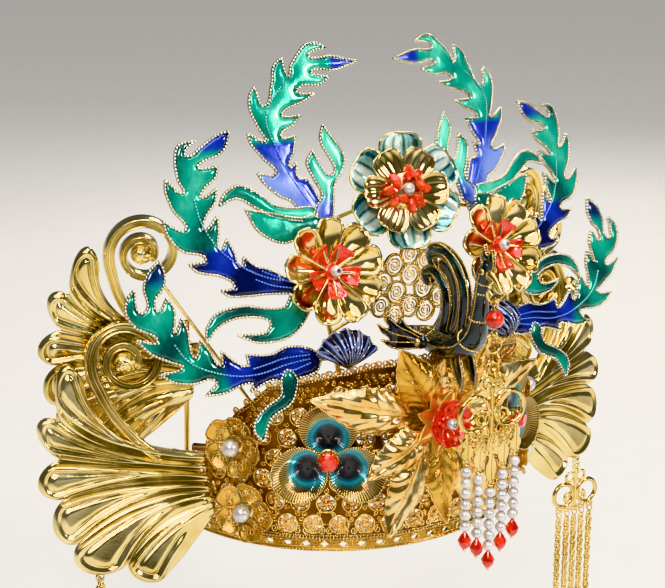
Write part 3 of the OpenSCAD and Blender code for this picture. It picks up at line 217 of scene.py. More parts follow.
def grid_faces(rows, columns, wrap_rows=False, wrap_columns=False):
    """Four-sided faces between neighbouring points of a grid."""
    i = np.arange(rows if wrap_rows else rows - 1)[:, None]
    j = np.arange(columns if wrap_columns else columns - 1)[None, :]
    a = i * columns + j
    b = i * columns + (j + 1) % columns
    c = ((i + 1) % rows) * columns + (j + 1) % columns
    d = ((i + 1) % rows) * columns + j
    return np.stack([a, b, c, d], -1).reshape(-1, 4)


def slab(front, back, wrap_rows=False):
    """Closed sheet between two grids of points, joined round their borders."""
    r, c = front.shape[:2]
    n = r * c
    face = grid_faces(r, c, wrap_rows)
    sides = []
    i = np.arange(r if wrap_rows else r - 1)
    k = (i + 1) % r
    for at in (0, c - 1):
        a, b = i * c + at, k * c + at
        strip = np.stack([a, b, b + n, a + n], -1)
        sides.append(strip if at == 0 else strip[:, ::-1])
    if not wrap_rows:
        j = np.arange(c - 1)
        for at in (0, (r - 1) * c):
            strip = np.stack([at + j + 1, at + j, at + j + n, at + j + 1 + n], -1)
            sides.append(strip if at == 0 else strip[:, ::-1])
    points = np.vstack([front.reshape(-1, 3), back.reshape(-1, 3)])
    return points, [face[:, ::-1], face + n] + sides


def wire(path, normal, radius, sides=6, closed=False):
    """Round wire: a circle carried along a line, square to it. Normal is a direction across the
    line, and normal and radius are one for all its points or one for each."""
    path = np.asarray(path, float)
    normal = np.broadcast_to(np.asarray(normal, float), path.shape)
    if closed:
        ahead = np.roll(path, -1, 0) - np.roll(path, 1, 0)
    else:
        ahead = np.gradient(path, axis=0)
    ahead = unit(ahead + 1e-9)
    across = unit(np.cross(normal, ahead) + 1e-9)
    up = np.cross(ahead, across)
    radius = np.broadcast_to(np.asarray(radius, float), path.shape[:1])[:, None, None]
    a = around(sides)[None, :, None]
    ring = path[:, None] + radius * (np.cos(a) * across[:, None] + np.sin(a) * up[:, None])
    faces = [grid_faces(len(path), sides, closed, True)]
    if not closed:
        last = (len(path) - 1) * sides
        faces += [np.arange(sides)[None, ::-1], last + np.arange(sides)[None, :]]
    return ring.reshape(-1, 3), faces


def flat_wire(line, radius, sides, height=0.0, closed=False):
    """Wire along a flat line at a height."""
    return wire(level(line, height), UP, radius, sides, closed)


# Sides of a grain's wire, its radius at four steps of each pitch, and the share of painted shade there, full
# in the hollow between grains
GRAIN_SIDES, GRAIN_SWELL, GRAIN_SHADE = 6, np.array([0.32, 0.86, 1.0, 0.86]), np.array([1.0, 0.42, 0.0, 0.42])


def beaded(path, normal, radius, pitch, closed=False):
    """Row of joined grains: a wire whose radius swells and narrows once for each pitch, in four
    steps. Its mark of painted shade is 1 in the hollow between two grains and 0 on their crowns."""
    path = spaced(path, pitch / 4, closed)
    path = path[: len(path) // 4 * 4] if closed else path
    step = np.arange(len(path)) % 4
    points, faces = wire(path, normal, radius * GRAIN_SWELL[step], GRAIN_SIDES, closed)
    return points, faces, {"dip": np.repeat(GRAIN_SHADE[step], GRAIN_SIDES)}


def turned_shape(profile, count):
    """Surface of revolution: rows of [radius, height] carried round the third axis."""
    profile = np.array(profile, float)
    a = around(count)[:, None]
    x, y = profile[None, :, 0] * np.cos(a), profile[None, :, 0] * np.sin(a)
    z = np.broadcast_to(profile[None, :, 1], x.shape)
    n, m = x.shape
    faces = [grid_faces(n, m, True)[:, ::-1]]
    first = (np.arange(n) * m)[None, :]
    faces += [first, (first + m - 1)[:, ::-1]]
    return np.stack([x, y, z], -1).reshape(-1, 3), faces


class Shape:
    """Surfaces of one piece, gathered as points, corners and marks on the points."""

    def __init__(self):
        self.points, self.corners, self.sizes, self.marks, self.count = [], [], [], {}, 0

    def add(self, surface, place=None, **marks):
        """Takes points and faces, moved to a place of (origin, axes) where one is given."""
        points, faces, *own = surface
        marks = {**(own[0] if own else {}), **marks}
        points = placed(points, *place) if place else np.asarray(points, float)
        for f in faces:
            f = np.asarray(f)
            self.corners.append((f + self.count).ravel())
            self.sizes.append(np.full(len(f), f.shape[1]))
        for name in set(self.marks) | set(marks):
            rows = self.marks.setdefault(name, [])
            if not rows and self.count:
                rows.append(np.zeros(self.count))
            rows.append(np.broadcast_to(np.asarray(marks.get(name, 0.0), float), (len(points),)))
        self.points.append(points)
        self.count += len(points)
        return self

    def turn(self, profile, count, place=None, **marks):
        """Adds a surface of revolution."""
        return self.add(turned_shape(profile, count), place, **marks)

    def mirrored(self):
        """The same piece on the wearer's other side."""
        twin = Shape()
        twin.points = [p * [-1, 1, 1] for p in self.points]
        twin.corners, twin.sizes = list(self.corners), list(self.sizes)
        twin.marks, twin.count = self.marks, self.count
        return twin

    def piece(self, name, finish, slot, replaces=(), body="crown", smooth=True):
        """Makes the mesh in metres, turns its faces outward and lets it ride on its body."""
        points = np.vstack(self.points) * MM
        corners = np.concatenate(self.corners)
        sizes = np.concatenate(self.sizes)
        mesh = bpy.data.meshes.new(name)
        mesh.vertices.add(len(points))
        mesh.vertices.foreach_set("co", points.astype(np.float32).ravel())
        mesh.loops.add(len(corners))
        mesh.loops.foreach_set("vertex_index", corners.astype(np.int32))
        mesh.polygons.add(len(sizes))
        starts = np.concatenate([[0], np.cumsum(sizes)[:-1]])
        mesh.polygons.foreach_set("loop_start", starts.astype(np.int32))
        mesh.update(calc_edges=True)
        mesh.validate()
        for mark, rows in self.marks.items():
            layer = mesh.attributes.new(mark, "FLOAT", "POINT")
            layer.data.foreach_set("value", np.concatenate(rows).astype(np.float32))
        shell = bmesh.new()
        shell.from_mesh(mesh)
        bmesh.ops.recalc_face_normals(shell, faces=shell.faces)
        shell.to_mesh(mesh)
        shell.free()
        mesh.polygons.foreach_set("use_smooth", np.full(len(mesh.polygons), smooth))
        made = bpy.data.objects.new(name, mesh)
        bpy.context.scene.collection.objects.link(made)
        mesh.materials.append(finish)
        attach(made, body)
        if replaces:
            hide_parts(*replaces)
        return made


def pair(shape, name, finish, slot, replaces=(), body="crown", smooth=True):
    """The piece on the wearer's left and its twin on the right."""
    for side, made in (("left", shape), ("right", shape.mirrored())):
        made.piece(f"{name}_{side}", finish, slot, [f"{r}_{side}" for r in replaces],
                   body.format(side=side), smooth)


# ---------------------------------------------------------------- finishes


class Value:
    """An output socket that takes part in sums; plain numbers may stand on either side."""

    def __init__(self, finish, socket):
        self.finish, self.socket = finish, socket

    def _with(self, operation, a, b):
        return self.finish.add("ShaderNodeMath", {"operation": operation}, {0: a, 1: b})

    def __add__(self, other):
        return self._with("ADD", self, other)

    def __sub__(self, other):
        return self._with("SUBTRACT", self, other)

    def __rsub__(self, other):
        return self._with("SUBTRACT", other, self)

    def __mul__(self, other):
        return self._with("MULTIPLY", self, other)

    __radd__, __rmul__ = __add__, __mul__

    def span(self, low, high, start=0.0, end=1.0):
        """Smooth change from start to end as the value goes from low to high."""
        return self.finish.add("ShaderNodeMapRange", {"interpolation_type": "SMOOTHSTEP"},
                               {0: self, 1: low, 2: high, 3: start, 4: end})


class Finish:
    """One material: its surface shader and the nodes that feed it."""

    def __init__(self, name, **uniform):
        self.material = bpy.data.materials.new(name)
        self.material.use_nodes = True
        self.tree = self.material.node_tree
        self.shader = self.tree.nodes["Principled BSDF"]
        for socket, value in uniform.items():
            self.shader.inputs[socket.replace("_", " ")].default_value = value

    def add(self, kind, settings=None, inputs=None, output=0):
        """Adds a node with its settings and with values or links on its input sockets."""
        node = self.tree.nodes.new(kind)
        for key, value in (settings or {}).items():
            setattr(node, key, value)
        for key, value in (inputs or {}).items():
            if isinstance(value, Value):
                self.tree.links.new(value.socket, node.inputs[key])
            else:
                node.inputs[key].default_value = value
        return Value(self, node.outputs[output])

    def coordinates(self):
        """Place on the object, in metres."""
        return self.add("ShaderNodeTexCoord", output="Object")

    def stretched(self, scale):
        """Place on the object, scaled by three numbers."""
        return self.add("ShaderNodeMapping", None, {0: self.coordinates(), 3: scale})

    def mark(self, name):
        """A mark that the piece carries on its points."""
        return self.add("ShaderNodeAttribute", {"attribute_name": name}, output="Fac")

    def noise(self, scale, detail=3.0, roughness=0.5, at=None):
        """Cloudy noise, with scale as its waves to the metre."""
        return self.add("ShaderNodeTexNoise", None, {
            "Vector": at or self.coordinates(), "Scale": scale, "Detail": detail,
            "Roughness": roughness}, "Fac")

    def mix(self, share, a, b):
        """Colour a where share is 0 and colour b where it is 1."""
        return self.add("ShaderNodeMix", {"data_type": "RGBA"}, {
            0: share, 6: a if isinstance(a, Value) else (*a, 1.0),
            7: b if isinstance(b, Value) else (*b, 1.0)}, 2)

    def relief(self, height, depth):
        """Bump whose full height stands depth millimetres high."""
        return self.add("ShaderNodeBump", None, {"Strength": 1.0, "Distance": depth * MM, "Height": height})

    def feed(self, **links):
        """Links values to the shader's sockets and gives the finished material."""
        for socket, value in links.items():
            self.tree.links.new(value.socket, self.shader.inputs[socket.replace("_", " ")])
        return self.material


def gold(name, deep, bright, rough=(0.1, 0.26), grain=900.0, depth=0.02, cloud=60.0, dip=None):
    """Polished gold: a slow change of tone, dull patches and fine tool marks. Where a piece has
    rows of grains or grooves, painted shade darkens their hollows to the given shade colour."""
    f = Finish(name, Metallic=1.0)
    patch, marks = f.noise(cloud, 3), f.noise(grain, 4, 0.6)
    colour = f.mix(patch.span(0.3, 0.7), deep, bright)
    if dip:
        colour = f.mix(f.mark("dip"), colour, dip)
    return f.feed(Base_Color=colour,
                  Roughness=patch.span(0.35, 0.75, *rough) + marks * 0.05,
                  Normal=f.relief(marks, depth))


def enamel(name, ramps, streak=0.0, metallic=0.35, rough=0.1):
    """Glassy enamel over foil. Marks on the piece say where it turns from the first ramp to the
    second (tone) and how light it is (light); each ramp is a dark, a middle and a pale colour.
    On the feathers, the shell buds and the silver teal petals the light mark also holds painted
    highlights and painted shade; streak adds upright streaks of painted sheen."""
    f = Finish(name, Metallic=metallic, Coat_Weight=1.0, Coat_Roughness=0.03, IOR=1.5)
    tone, light = f.mark("tone"), f.mark("light")
    cloud = f.noise(170, 4, 0.55)
    light = light + (cloud - 0.5) * 0.3
    # Streak: noise stretched upright into pale and dark streaks of painted sheen
    if streak:
        light = light + (f.noise(1, 5, 0.6, f.stretched((900, 900, 120))) - 0.5) * streak
    colours = [f.mix(light.span(0.4, 1.0), f.mix(light.span(0.0, 0.5), dark, middle), pale)
               for dark, middle, pale in ramps]
    ripple = f.noise(420, 2)
    return f.feed(Base_Color=f.mix(tone, *colours),
                  Roughness=cloud.span(0.3, 0.8, rough, rough + 0.12),
                  Normal=f.relief(ripple, 0.06))


# Deep and bright tone, range of roughness, fine grain and its depth, slow cloud, colour of the painted shade
# in hollows
BRIGHT_GOLD = gold("bright_gold", (0.62, 0.43, 0.11), (0.95, 0.75, 0.32), (0.07, 0.2), 700, 0.015)
CHAMPAGNE_GOLD = gold("champagne_gold", (0.64, 0.49, 0.19), (0.96, 0.81, 0.44), (0.07, 0.2), 700, 0.015, 60,
                      (0.26, 0.17, 0.05))
LEAF_GOLD = gold("leaf_gold", (0.80, 0.50, 0.15), (1.0, 0.82, 0.42), (0.12, 0.26), 700, 0.015, 110)
WARM_GOLD = gold("warm_scroll_gold", (0.72, 0.38, 0.07), (0.98, 0.68, 0.22), (0.14, 0.3), 1500, 0.05, 90,
                 (0.16, 0.05, 0.008))
PANEL_GOLD = gold("panel_ground_gold", (0.11, 0.035, 0.006), (0.27, 0.11, 0.02), (0.3, 0.5), 1500, 0.08)
RIM_GOLD = gold("grain_gold", (0.86, 0.60, 0.20), (1.0, 0.80, 0.38), (0.1, 0.24), 1500, 0.01, 60,
                (0.13, 0.055, 0.012))
PALE_GOLD = gold("pale_grain_gold", (0.90, 0.81, 0.55), (1.0, 0.95, 0.78), (0.12, 0.26), 1500, 0.01, 60,
                 (0.012, 0.01, 0.008))
SILVER_WIRE = gold("silver_grain_wire", (0.60, 0.64, 0.70), (0.90, 0.92, 0.95), (0.12, 0.26), 1500, 0.01, 60,
                   (0.03, 0.03, 0.05))
NET_GOLD = gold("granulated_gold", (0.55, 0.29, 0.05), (0.95, 0.64, 0.18), (0.12, 0.3), 2600, 0.12)
SEPAL_GOLD = gold("sepal_gold", (0.84, 0.60, 0.15), (1.0, 0.80, 0.32), (0.3, 0.42), 1500, 0.03)


def vein_finish():
    """Grains of the veins: light blue over the blue part of a feather, light teal over the green."""
    f = Finish("vein_grain_enamel", Metallic=0.45, Coat_Weight=0.8, Coat_Roughness=0.08, IOR=1.5)
    patch = f.noise(200, 3)
    colour = f.mix(f.mark("tone"), (0.14, 0.64, 0.56), (0.12, 0.27, 0.98))
    # Painted shade: near-black blue in the hollows between the grains
    return f.feed(Base_Color=f.mix(f.mark("dip"), colour, (0.0, 0.012, 0.05)),
                  Roughness=patch.span(0.3, 0.8, 0.1, 0.25), Normal=f.relief(f.noise(900, 3), 0.01))


VEIN_GRAIN = vein_finish()
# Enamel ramps: dark, middle and pale
TEAL = ((0.0, 0.05, 0.045), (0.0, 0.31, 0.21), (0.20, 0.84, 0.62))
BLUE = ((0.002, 0.005, 0.06), (0.012, 0.035, 0.40), (0.26, 0.38, 0.88))
FEATHER_ENAMEL = enamel("feather_enamel", (TEAL, BLUE), 0.3)

# ---------------------------------------------------------------- sizes shared with the solids
# Radii of the band and the panel, the panel's height in front, and the gap at which parts are seated
BAND_R, PANEL_R, FRONT_H, SEAT = 83.3, 84.8, 84.0, 0.3


def round_point(turn, r, z):
    """A point on the crown's round side."""
    a = np.radians(turn)
    return np.stack(np.broadcast_arrays(r * np.sin(a), -r * np.cos(a), z), -1)


# ---------------------------------------------------------------- enamel feathers
# Outlines are in hundredths of the feather's height h, along and up its slope, from its root. Lean
# is how far it leans back and is splayed; tone and light say its colour at such a place. Light is
# the enamel's own pale and dark tone with paler patches of painted highlight added, and the middle
# feather's ribbon is kept dark partly as painted shade.
PLATE_T, PLATE_STEP, EDGE_GAP, RIM_FALL, SWELL_FALL = 1.3, 1.25, 0.55, 0.35, 2.2
RIM_R, RIM_PITCH, VEIN_R, VEIN_PITCH, VEIN_OUT = 0.6, 1.45, 0.44, 1.35, 0.5
RIBBON_OUT, RIBBON_STEP, RIM_DEPTHS = 0.8, 0.25, (0.1, 0.8)
UPPER = dict(
    lean=(0.346, 0.082), root=(38.7, 31.5 - PANEL_R, FRONT_H + 59), h=72,
    barbs=[
        [15, 9], [23, 14], [31, 22], [34, 28, 1], [23, 27], [29, 36], [35, 45], [36, 51, 1], [26, 46],
        [28, 52], [32, 64], [31, 72], [27, 77, 1], [23, 66], [16, 78], [13, 88], [7, 93, 1], [5, 82],
        [2, 88], [-4, 95], [-10, 100], [-17, 100], [-22, 97, 1], [-14, 96], [-10, 93], [-14, 91.5],
        [-25, 92], [-41, 88, 1], [-25, 84], [-13, 85], [-10, 83], [-21, 80, 1], [-14, 76], [-3, 76],
        [1, 72.5], [-10, 71, 1], [-2, 67], [10, 63], [13, 59.5], [1, 59, 1], [7, 54], [16, 48], [7, 47, 1],
        [10, 38], [14, 30], [9, 32, 1], [10, 24], [4, 22, 1], [-1, 9], [-3, -8], [3, -13], [9, -8]],
    ribbons=[
        [[1, -6], [-7, -2], [-9, 5], [-12, 17], [-19, 26], [-21, 33], [-17, 42], [-11, 52, 1], [-8, 43],
         [-12, 33], [-14, 25], [-9, 23], [-5, 29], [-2, 38, 1], [3, 31], [0, 21], [-3, 12], [4, 2]],
        [[4, 5], [16, 6], [28, 9], [36, 16], [47, 22], [57, 18], [61, 12, 1], [50, 15], [40, 9], [29, 2],
         [16, -1], [4, -3]],
        [[2, 0], [14, 0], [29, 4], [46, 8, 1], [40, -5], [26, -13], [12, -9], [3, -8]]],
    veins=[[[0, -5], [3, 4], [9, 14], [17, 30], [22, 46], [24, 55], [22.5, 62], [18, 69], [11, 76]],
           [[-2, -4], [0, 4], [4, 12], [8, 19]], [[2, -7], [6, 0], [11, 7]]],
    tone=lambda a, u: 1 - ease(u, 43.5, 45.5) + ease(-a, 21, 25) * ease(u, 78, 84),
    # Painted highlight: paler on the blue part (partly its own paler blue), on the far barbs near the top,
    # at the upper end and on the lower barbs of the other side
    light=lambda a, u: 0.46 + 0.16 * np.sin(a / 7 - u / 9) + 0.16 * (1 - ease(u, 30, 46))
    + 0.3 * ease(-a, 24, 36) * ease(u, 80, 84) + 0.12 * ease(u, 84, 96)
    + 0.16 * ease(a, 8, 16) * (1 - ease(u, 20, 44)),
    ribbon_looks=[lambda a, u: (1 - ease(u, 4, 16), 0.72 + 0.2 * np.sin(a / 4 + u / 8)),
                  lambda a, u: (0 * a, 0.46 + 0.22 * np.sin(a / 10)),
                  lambda a, u: (0 * a, 0.16 + 0.34 * ease(a, 10, 40))])
MIDDLE = dict(
    lean=(0.300, 0.181), root=(61.5, 24 - PANEL_R, FRONT_H + 33.3), h=64,
    barbs=[
        [10, -3], [22, -3], [35, -2], [40, 2, 1], [31, 4], [39, 11], [53, 15], [58, 20, 1], [47, 23],
        [61, 29], [69, 40], [70, 48, 1], [57, 42], [63, 55], [66, 66], [65, 74, 1], [55, 65], [57, 74],
        [57, 86], [53, 95], [42, 97, 1], [48, 93], [50, 89], [46, 88], [40, 92], [29, 99], [19, 102, 1],
        [23, 92], [29, 87], [39, 84], [43, 80], [30, 80, 1], [33, 73], [41, 67], [44, 61], [33, 66, 1],
        [36, 57], [43, 49], [45, 41], [35, 49, 1], [36, 39], [37, 28], [31, 34, 1], [28, 25], [25, 16],
        [22, 22, 1], [16, 16], [6, 12], [-6, 5], [-14, 3], [-14, -4], [-4, -4]],
    ribbons=[
        [[-14, -3], [-6, -4], [0, -12], [12, -12], [27, -9], [45, -12], [53, -20], [55, -29, 1], [45, -20],
         [30, -16], [12, -20], [15, -27], [34, -27, 1], [21, -33], [2, -32], [-10, -24], [-18, -10]]],
    veins=[[[-12, 1], [-4, 4], [8, 7], [22, 14], [34, 24], [41, 33], [47, 47], [49, 61]],
           [[-8, -1], [6, 2], [17, 7]], [[-6, 3], [4, 8], [12, 12]]],
    tone=lambda a, u: (1 - ease(u + 0.12 * (a - 30), 27, 33)) + ease(u, 88, 92) * (1 - ease(a, 41, 45)),
    # Painted highlight: a paler band between 40 and 90 hundredths of the height
    light=lambda a, u: 0.29 + 0.2 * np.sin(a / 6 + u / 11) - 0.22 * (1 - ease(u, 0, 30))
    + 0.12 * ease(u, 40, 62) * (1 - ease(u, 84, 90)),
    # The ribbon's low light is partly its own dark teal and partly painted shade
    ribbon_looks=[lambda a, u: (0 * a, 0.2 + 0.22 * np.cos(a / 9))])
LOWER = dict(
    lean=(0.296, 0.134), root=(59.5, 14.7 - PANEL_R, FRONT_H - 3.4), h=54,
    barbs=[
        [14, 0], [19, 2], [28, 0], [39, -5, 1], [37, 1], [46, 1], [60, -3], [74, -3, 1], [65, 7], [83, 7],
        [97, 10], [106, 17, 1], [89, 20], [97, 25], [111, 33], [120, 44, 1], [105, 42], [119, 53],
        [125, 64], [123, 74], [116, 81, 1], [117, 67], [113, 63], [108, 68], [109, 81], [104, 92],
        [94, 100, 1], [92, 88], [96, 78], [102, 72], [101, 63], [93, 72, 1], [89, 64], [90, 53], [91, 46],
        [84, 56, 1], [81, 46], [81, 31], [78, 26], [72, 38, 1], [67, 30], [60, 18], [57, 28, 1], [49, 20],
        [39, 15], [38, 23, 1], [19, 21], [4, 25], [-14, 21], [-20, 12], [-16, 4], [-4, 1]],
    ribbons=[
        [[2, 2], [2, -4], [9, -17], [26, -26], [32, -35], [35, -43, 1], [41, -35], [39, -26], [28, -17],
         [16, -10], [14, 2], [8, 8]]],
    veins=[[[-12, 14], [8, 12], [28, 8], [46, 8], [62, 12], [76, 18], [86, 26], [93, 38]],
           [[-12, 17], [8, 17], [24, 14], [36, 12]], [[-12, 11], [4, 7], [20, 5]]],
    tone=lambda a, u: (1 - ease(a - 0.3 * u, 50, 60)) + 0.8 * ease(u, 78, 88) * (1 - ease(a, 106, 112)),
    # Painted highlight: a paler band between 36 and 90 hundredths of the height
    light=lambda a, u: 0.22 + 0.16 * np.sin(a / 7 + u / 10) + 0.18 * ease(u, 36, 66) * (1 - ease(u, 80, 90))
    - 0.06 * (1 - ease(a, 20, 58)),
    ribbon_looks=[lambda a, u: (0 * a, 0.16 + 0.2 * np.sin(u / 7))])


def plate(line, thick, dome):
    """Enamel plate inside a closed flat line. Its front and back stand dome(distance) away from
    the middle of the thickness, where distance is how far a point lies from the line, so both
    faces swell from a shared edge. Returns points, faces and the flat places of the points."""
    low, high = line.min(0), line.max(0)
    x, y = (np.arange(low[k], high[k], PLATE_STEP) for k in (0, 1))
    x, y = np.meshgrid(x, y)
    x = x + PLATE_STEP / 2 * (np.arange(len(x))[:, None] % 2)
    inner = np.stack([x.ravel(), y.ravel()], -1)
    a, b = line, np.roll(line, -1, 0)

    def distance(p):
        d = b - a
        t = np.clip(((p[:, None] - a) * d).sum(-1) / (d * d).sum(-1), 0, 1)
        return np.linalg.norm(p[:, None] - a - t[..., None] * d, axis=-1).min(1)

    crossing = ((a[:, 1] > inner[:, None, 1]) != (b[:, 1] > inner[:, None, 1])) & (
        inner[:, None, 0] < (b[:, 0] - a[:, 0]) * (inner[:, None, 1] - a[:, 1])
        / np.where(b[:, 1] == a[:, 1], 1e-9, b[:, 1] - a[:, 1]) + a[:, 0])
    inner = inner[crossing.sum(1) % 2 == 1]
    inner = inner[distance(inner) > EDGE_GAP]
    every = np.vstack([line, inner])
    found = delaunay_2d_cdt([Vector(p) for p in every], [], [list(range(len(line)))], 1, 1e-4)
    flat = np.array([tuple(v) for v in found[0]], float)
    faces = np.array([list(f) for f in found[2] if len(f) == 3])
    edges = np.sort(np.vstack([faces[:, [0, 1]], faces[:, [1, 2]], faces[:, [2, 0]]]), 1)
    edges, uses = np.unique(edges, axis=0, return_counts=True)
    border = np.zeros(len(flat), bool)
    border[edges[uses == 1].ravel()] = True
    rise = dome(np.where(border, 0, distance(flat)))
    n = len(flat)
    back = np.where(border, np.arange(n), np.arange(n) + n)
    points = np.vstack([np.column_stack([flat, rise - thick / 2]),
                        np.column_stack([flat, -rise - thick / 2])])
    keep = np.ones(2 * n, bool)
    keep[n:][border] = False
    order = np.cumsum(keep) - 1
    faces = [order[faces], order[back[faces]][:, ::-1]]
    return points[keep], faces, np.vstack([flat, flat])[keep]


def enamel_dome(thick, swell=0.35):
    """Steep at the rim, then almost level, with a low rise towards the middle."""
    return lambda d: (thick / 2) * (1 - np.exp(-d / RIM_FALL)) + swell * (1 - np.exp(-d / SWELL_FALL))


def feather(name, look, node):
    """Flat plates of enamel for the barbs and the ribbons over them, each inside a beaded rim of
    gold grains, with veins of finer grains along their middle lines."""
    lean = look["lean"]
    place = (look["root"], sheet_axes(*lean))
    glass, rims, veins = Shape(), Shape(), Shape()
    size = look["h"] / 100

    def flat(rows):
        return square_up(smooth_outline(rows) * size, *lean)

    def unflat(p):
        k = unit([1, lean[1], 0]) @ unit([0, lean[0], 1])
        up = p[:, 1] / np.sqrt(1 - k * k)
        return (p[:, 0] - k * up) / size, up / size

    layers = [(look["barbs"], 0.0, lambda a, u: (look["tone"](a, u), look["light"](a, u)))]
    layers += [(rows, RIBBON_OUT + RIBBON_STEP * i, look["ribbon_looks"][i])
               for i, rows in enumerate(look["ribbons"])]
    for rows, out, shades in layers:
        line = flat(rows)
        points, faces, spots = plate(line, PLATE_T, enamel_dome(PLATE_T))
        points[:, 2] += out
        tone, light = shades(*unflat(spots))
        glass.add((points, faces), place, tone=np.clip(tone, 0, 1), light=light)
        for share in RIM_DEPTHS:
            rims.add(beaded(level(line, out - PLATE_T * share), UP, RIM_R, RIM_PITCH, True), place)
    for rows in look["veins"]:
        line = square_up(smooth_rows(rows, 40) * size, *lean)
        points, faces, marks = beaded(level(line, VEIN_OUT), UP, VEIN_R, VEIN_PITCH)
        veins.add((points, faces, marks), place, tone=np.clip(look["tone"](*unflat(points)), 0, 1))
    pair(glass, name, FEATHER_ENAMEL, "feather_enamel", [node])
    pair(rims, name + "_rim", PALE_GOLD, "pale_gold")
    pair(veins, name + "_veins", VEIN_GRAIN, "feather_enamel")


# ---------------------------------------------------------------- stamped wings and scrolls
# Each ray of the fan: where it bends and where it ends, in hundredths of the wing's reach
RAYS = np.array([
    [66, 19, 66, 59], [70, 14, 79, 70], [69, 14, 83, 39], [56, 9, 97, 34], [56, 8, 85, 15],
    [49, 7, 100, 0], [51, 0, 84, -9], [46, -1, 94, -27], [44, -9, 80, -37], [37, -11, 77, -56],
    [33, -25, 51, -52], [21, -29, 46, -64], [17, -54, 31, -64]], float)
ROOT_LINE = (-5, 11, -27)
CURL_CENTRE = np.array([40.0, 70.0])
# Each row of the curl: turn, distance from its centre and half width
CURL = [
    [-104, 62, 6], [-90, 46, 5.2], [-73, 33.5, 4.6], [-48, 24.5, 4.2], [-20, 21.5, 4],
    [15, 21, 3.9], [50, 21.5, 3.8], [85, 21.8, 3.7], [120, 21.5, 3.6], [155, 21, 3.4],
    [190, 19, 3.2], [225, 16.5, 3], [260, 14.5, 2.9], [300, 13, 2.8], [345, 12, 2.8],
    [390, 11.5, 2.8], [435, 11, 2.8], [480, 10, 2.9], [525, 8, 3.1], [570, 5.5, 3.4]]
WING_T, WING_RELIEF, CURL_BACK, UPPER_SINK = 1.2, 3.2, 1.0, 0.4
BLEND = 1.6
EYE_R, EYE_WIRE, KNOB_R, KNOB_H, KNOB_BACK = 1.75, 0.55, 7.2, 3.6, 1.6
POST_HEIGHTS = (19, 33)
# Place of a wing: lean, splay and the front's depth; root: where the sheet starts, across and up
LOWER_WING = dict(place=(0.185, 0.3, -0.731 * PANEL_R), root=(1.038 * PANEL_R, 33), reach=70, tilt=0)
UPPER_WING = dict(place=(-0.05, 0.4, -0.514 * PANEL_R), root=(1.032 * PANEL_R, 77.5), reach=65, tilt=7)


def wing_place(look, p, out):
    """Points of a wing's leaning sheet, from places in hundredths of its reach and heights."""
    lean, splay, front = look["place"]
    flat = np.asarray(look["root"]) + turned(p, look["tilt"]) * look["reach"] / 100
    q = square_up(flat, lean, splay)
    return placed(np.concatenate([q, out[..., None]], -1), (0, front, 0), sheet_axes(lean, splay))


def fan_surface(look, lobe):
    """One lobe of the fan. Each ray is a curve of the second degree from the root line to a half
    ellipse round the tip. Height depends on the distance d from the lobe's edge: it climbs to a
    round ridge, drops into a groove and rises again to a tongue along the middle."""
    across, along = 25, 58
    g, tip, g2 = RAYS[2 * lobe], RAYS[2 * lobe + 1], RAYS[2 * lobe + 2]
    turn = np.linspace(0, np.pi, across)
    w = np.sin(turn)[:, None]
    near = g[None, :2] * (1 + np.cos(turn)[:, None]) / 2 + g2[None, :2] * (1 - np.cos(turn)[:, None]) / 2
    bend = near * (1 - w) + tip[None, :2] * w
    mid = (g[2:] + g2[2:]) / 2
    end = mid + (g[2:] - mid) * np.cos(turn)[:, None] + (tip[2:] - mid) * w
    c = 6 * lobe + turn / np.pi * 6
    root = np.column_stack([np.full(across, ROOT_LINE[0]),
                            ROOT_LINE[1] + (ROOT_LINE[2] - ROOT_LINE[1]) * c / 36])
    t = (np.linspace(0, 1, along) ** 0.85)[None, :, None]
    p = (1 - t) ** 2 * root[:, None] + 2 * t * (1 - t) * bend[:, None] + t**2 * end[:, None]
    size = look["reach"] / 100
    half = np.linalg.norm(p[0] - p[-1], axis=-1)[None, :] * size / 2
    side = (1 - np.abs(np.cos(turn)))[:, None] * half
    tip_gap = np.linalg.norm(p - p[:, -1:], axis=-1) * size
    d = -np.log(np.exp(-BLEND * side) + np.exp(-BLEND * tip_gap * 0.8)) / BLEND
    d = np.clip(d, 0, None)
    wide = ease(half, 2.2, 4.2) * ease(t[..., 0], 0.3, 0.6)
    one = np.sin(np.clip(side / (half + 1e-6), 0, 1) * np.pi / 2) ** 0.8
    ridge = ease(d, 0, 1.5) - 0.62 * ease(d, 1.7, 3.0) + 0.5 * ease(d, 3.1, 4.6)
    relief = (1 - wide) * one * ease(t[..., 0], -0.2, 0.35) + wide * ridge
    out = WING_RELIEF * relief * (1 - 0.25 * ease(t[..., 0], 0.9, 1.0)) + 1.6 * t[..., 0] ** 3
    if look is UPPER_WING:
        out = out - UPPER_SINK
    front = wing_place(look, p, out)
    back = wing_place(look, p, out - WING_T + 0.3 * relief)
    return slab(front, back)


def curl_surface(look):
    """Band of a spiral: rows of turn, distance from the centre and half width, blended, with two
    round lips along its edges, a hollow between them and a knob where it ends."""
    along, across = 230, 17
    rows = smooth_rows(CURL, along)
    j = np.linspace(-1, 1, across)[None, :]
    a = np.radians(rows[:, 0])[:, None]
    r = rows[:, 1][:, None] + rows[:, 2][:, None] * j
    p = CURL_CENTRE + np.stack([r * np.cos(a), r * np.sin(a)], -1)
    s = np.linspace(0, 1, along)[:, None]
    lips = np.exp(-((np.abs(j) - 0.68) / 0.26) ** 2)
    edge = np.sqrt(np.clip(1 - np.abs(j) ** 6, 0, 1))
    out = WING_RELIEF * (0.15 + 0.95 * lips * edge + 0.32 * edge) * (1 + 0.25 * ease(s, 0.72, 1.0))
    out = out * (0.6 + 0.4 * ease(s, 0.0, 0.12)) * (1 - 0.4 * ease(s, 0.97, 1))
    front = wing_place(look, p, out)
    back = wing_place(look, p, np.full_like(out, -WING_T - CURL_BACK))
    return slab(front, back)


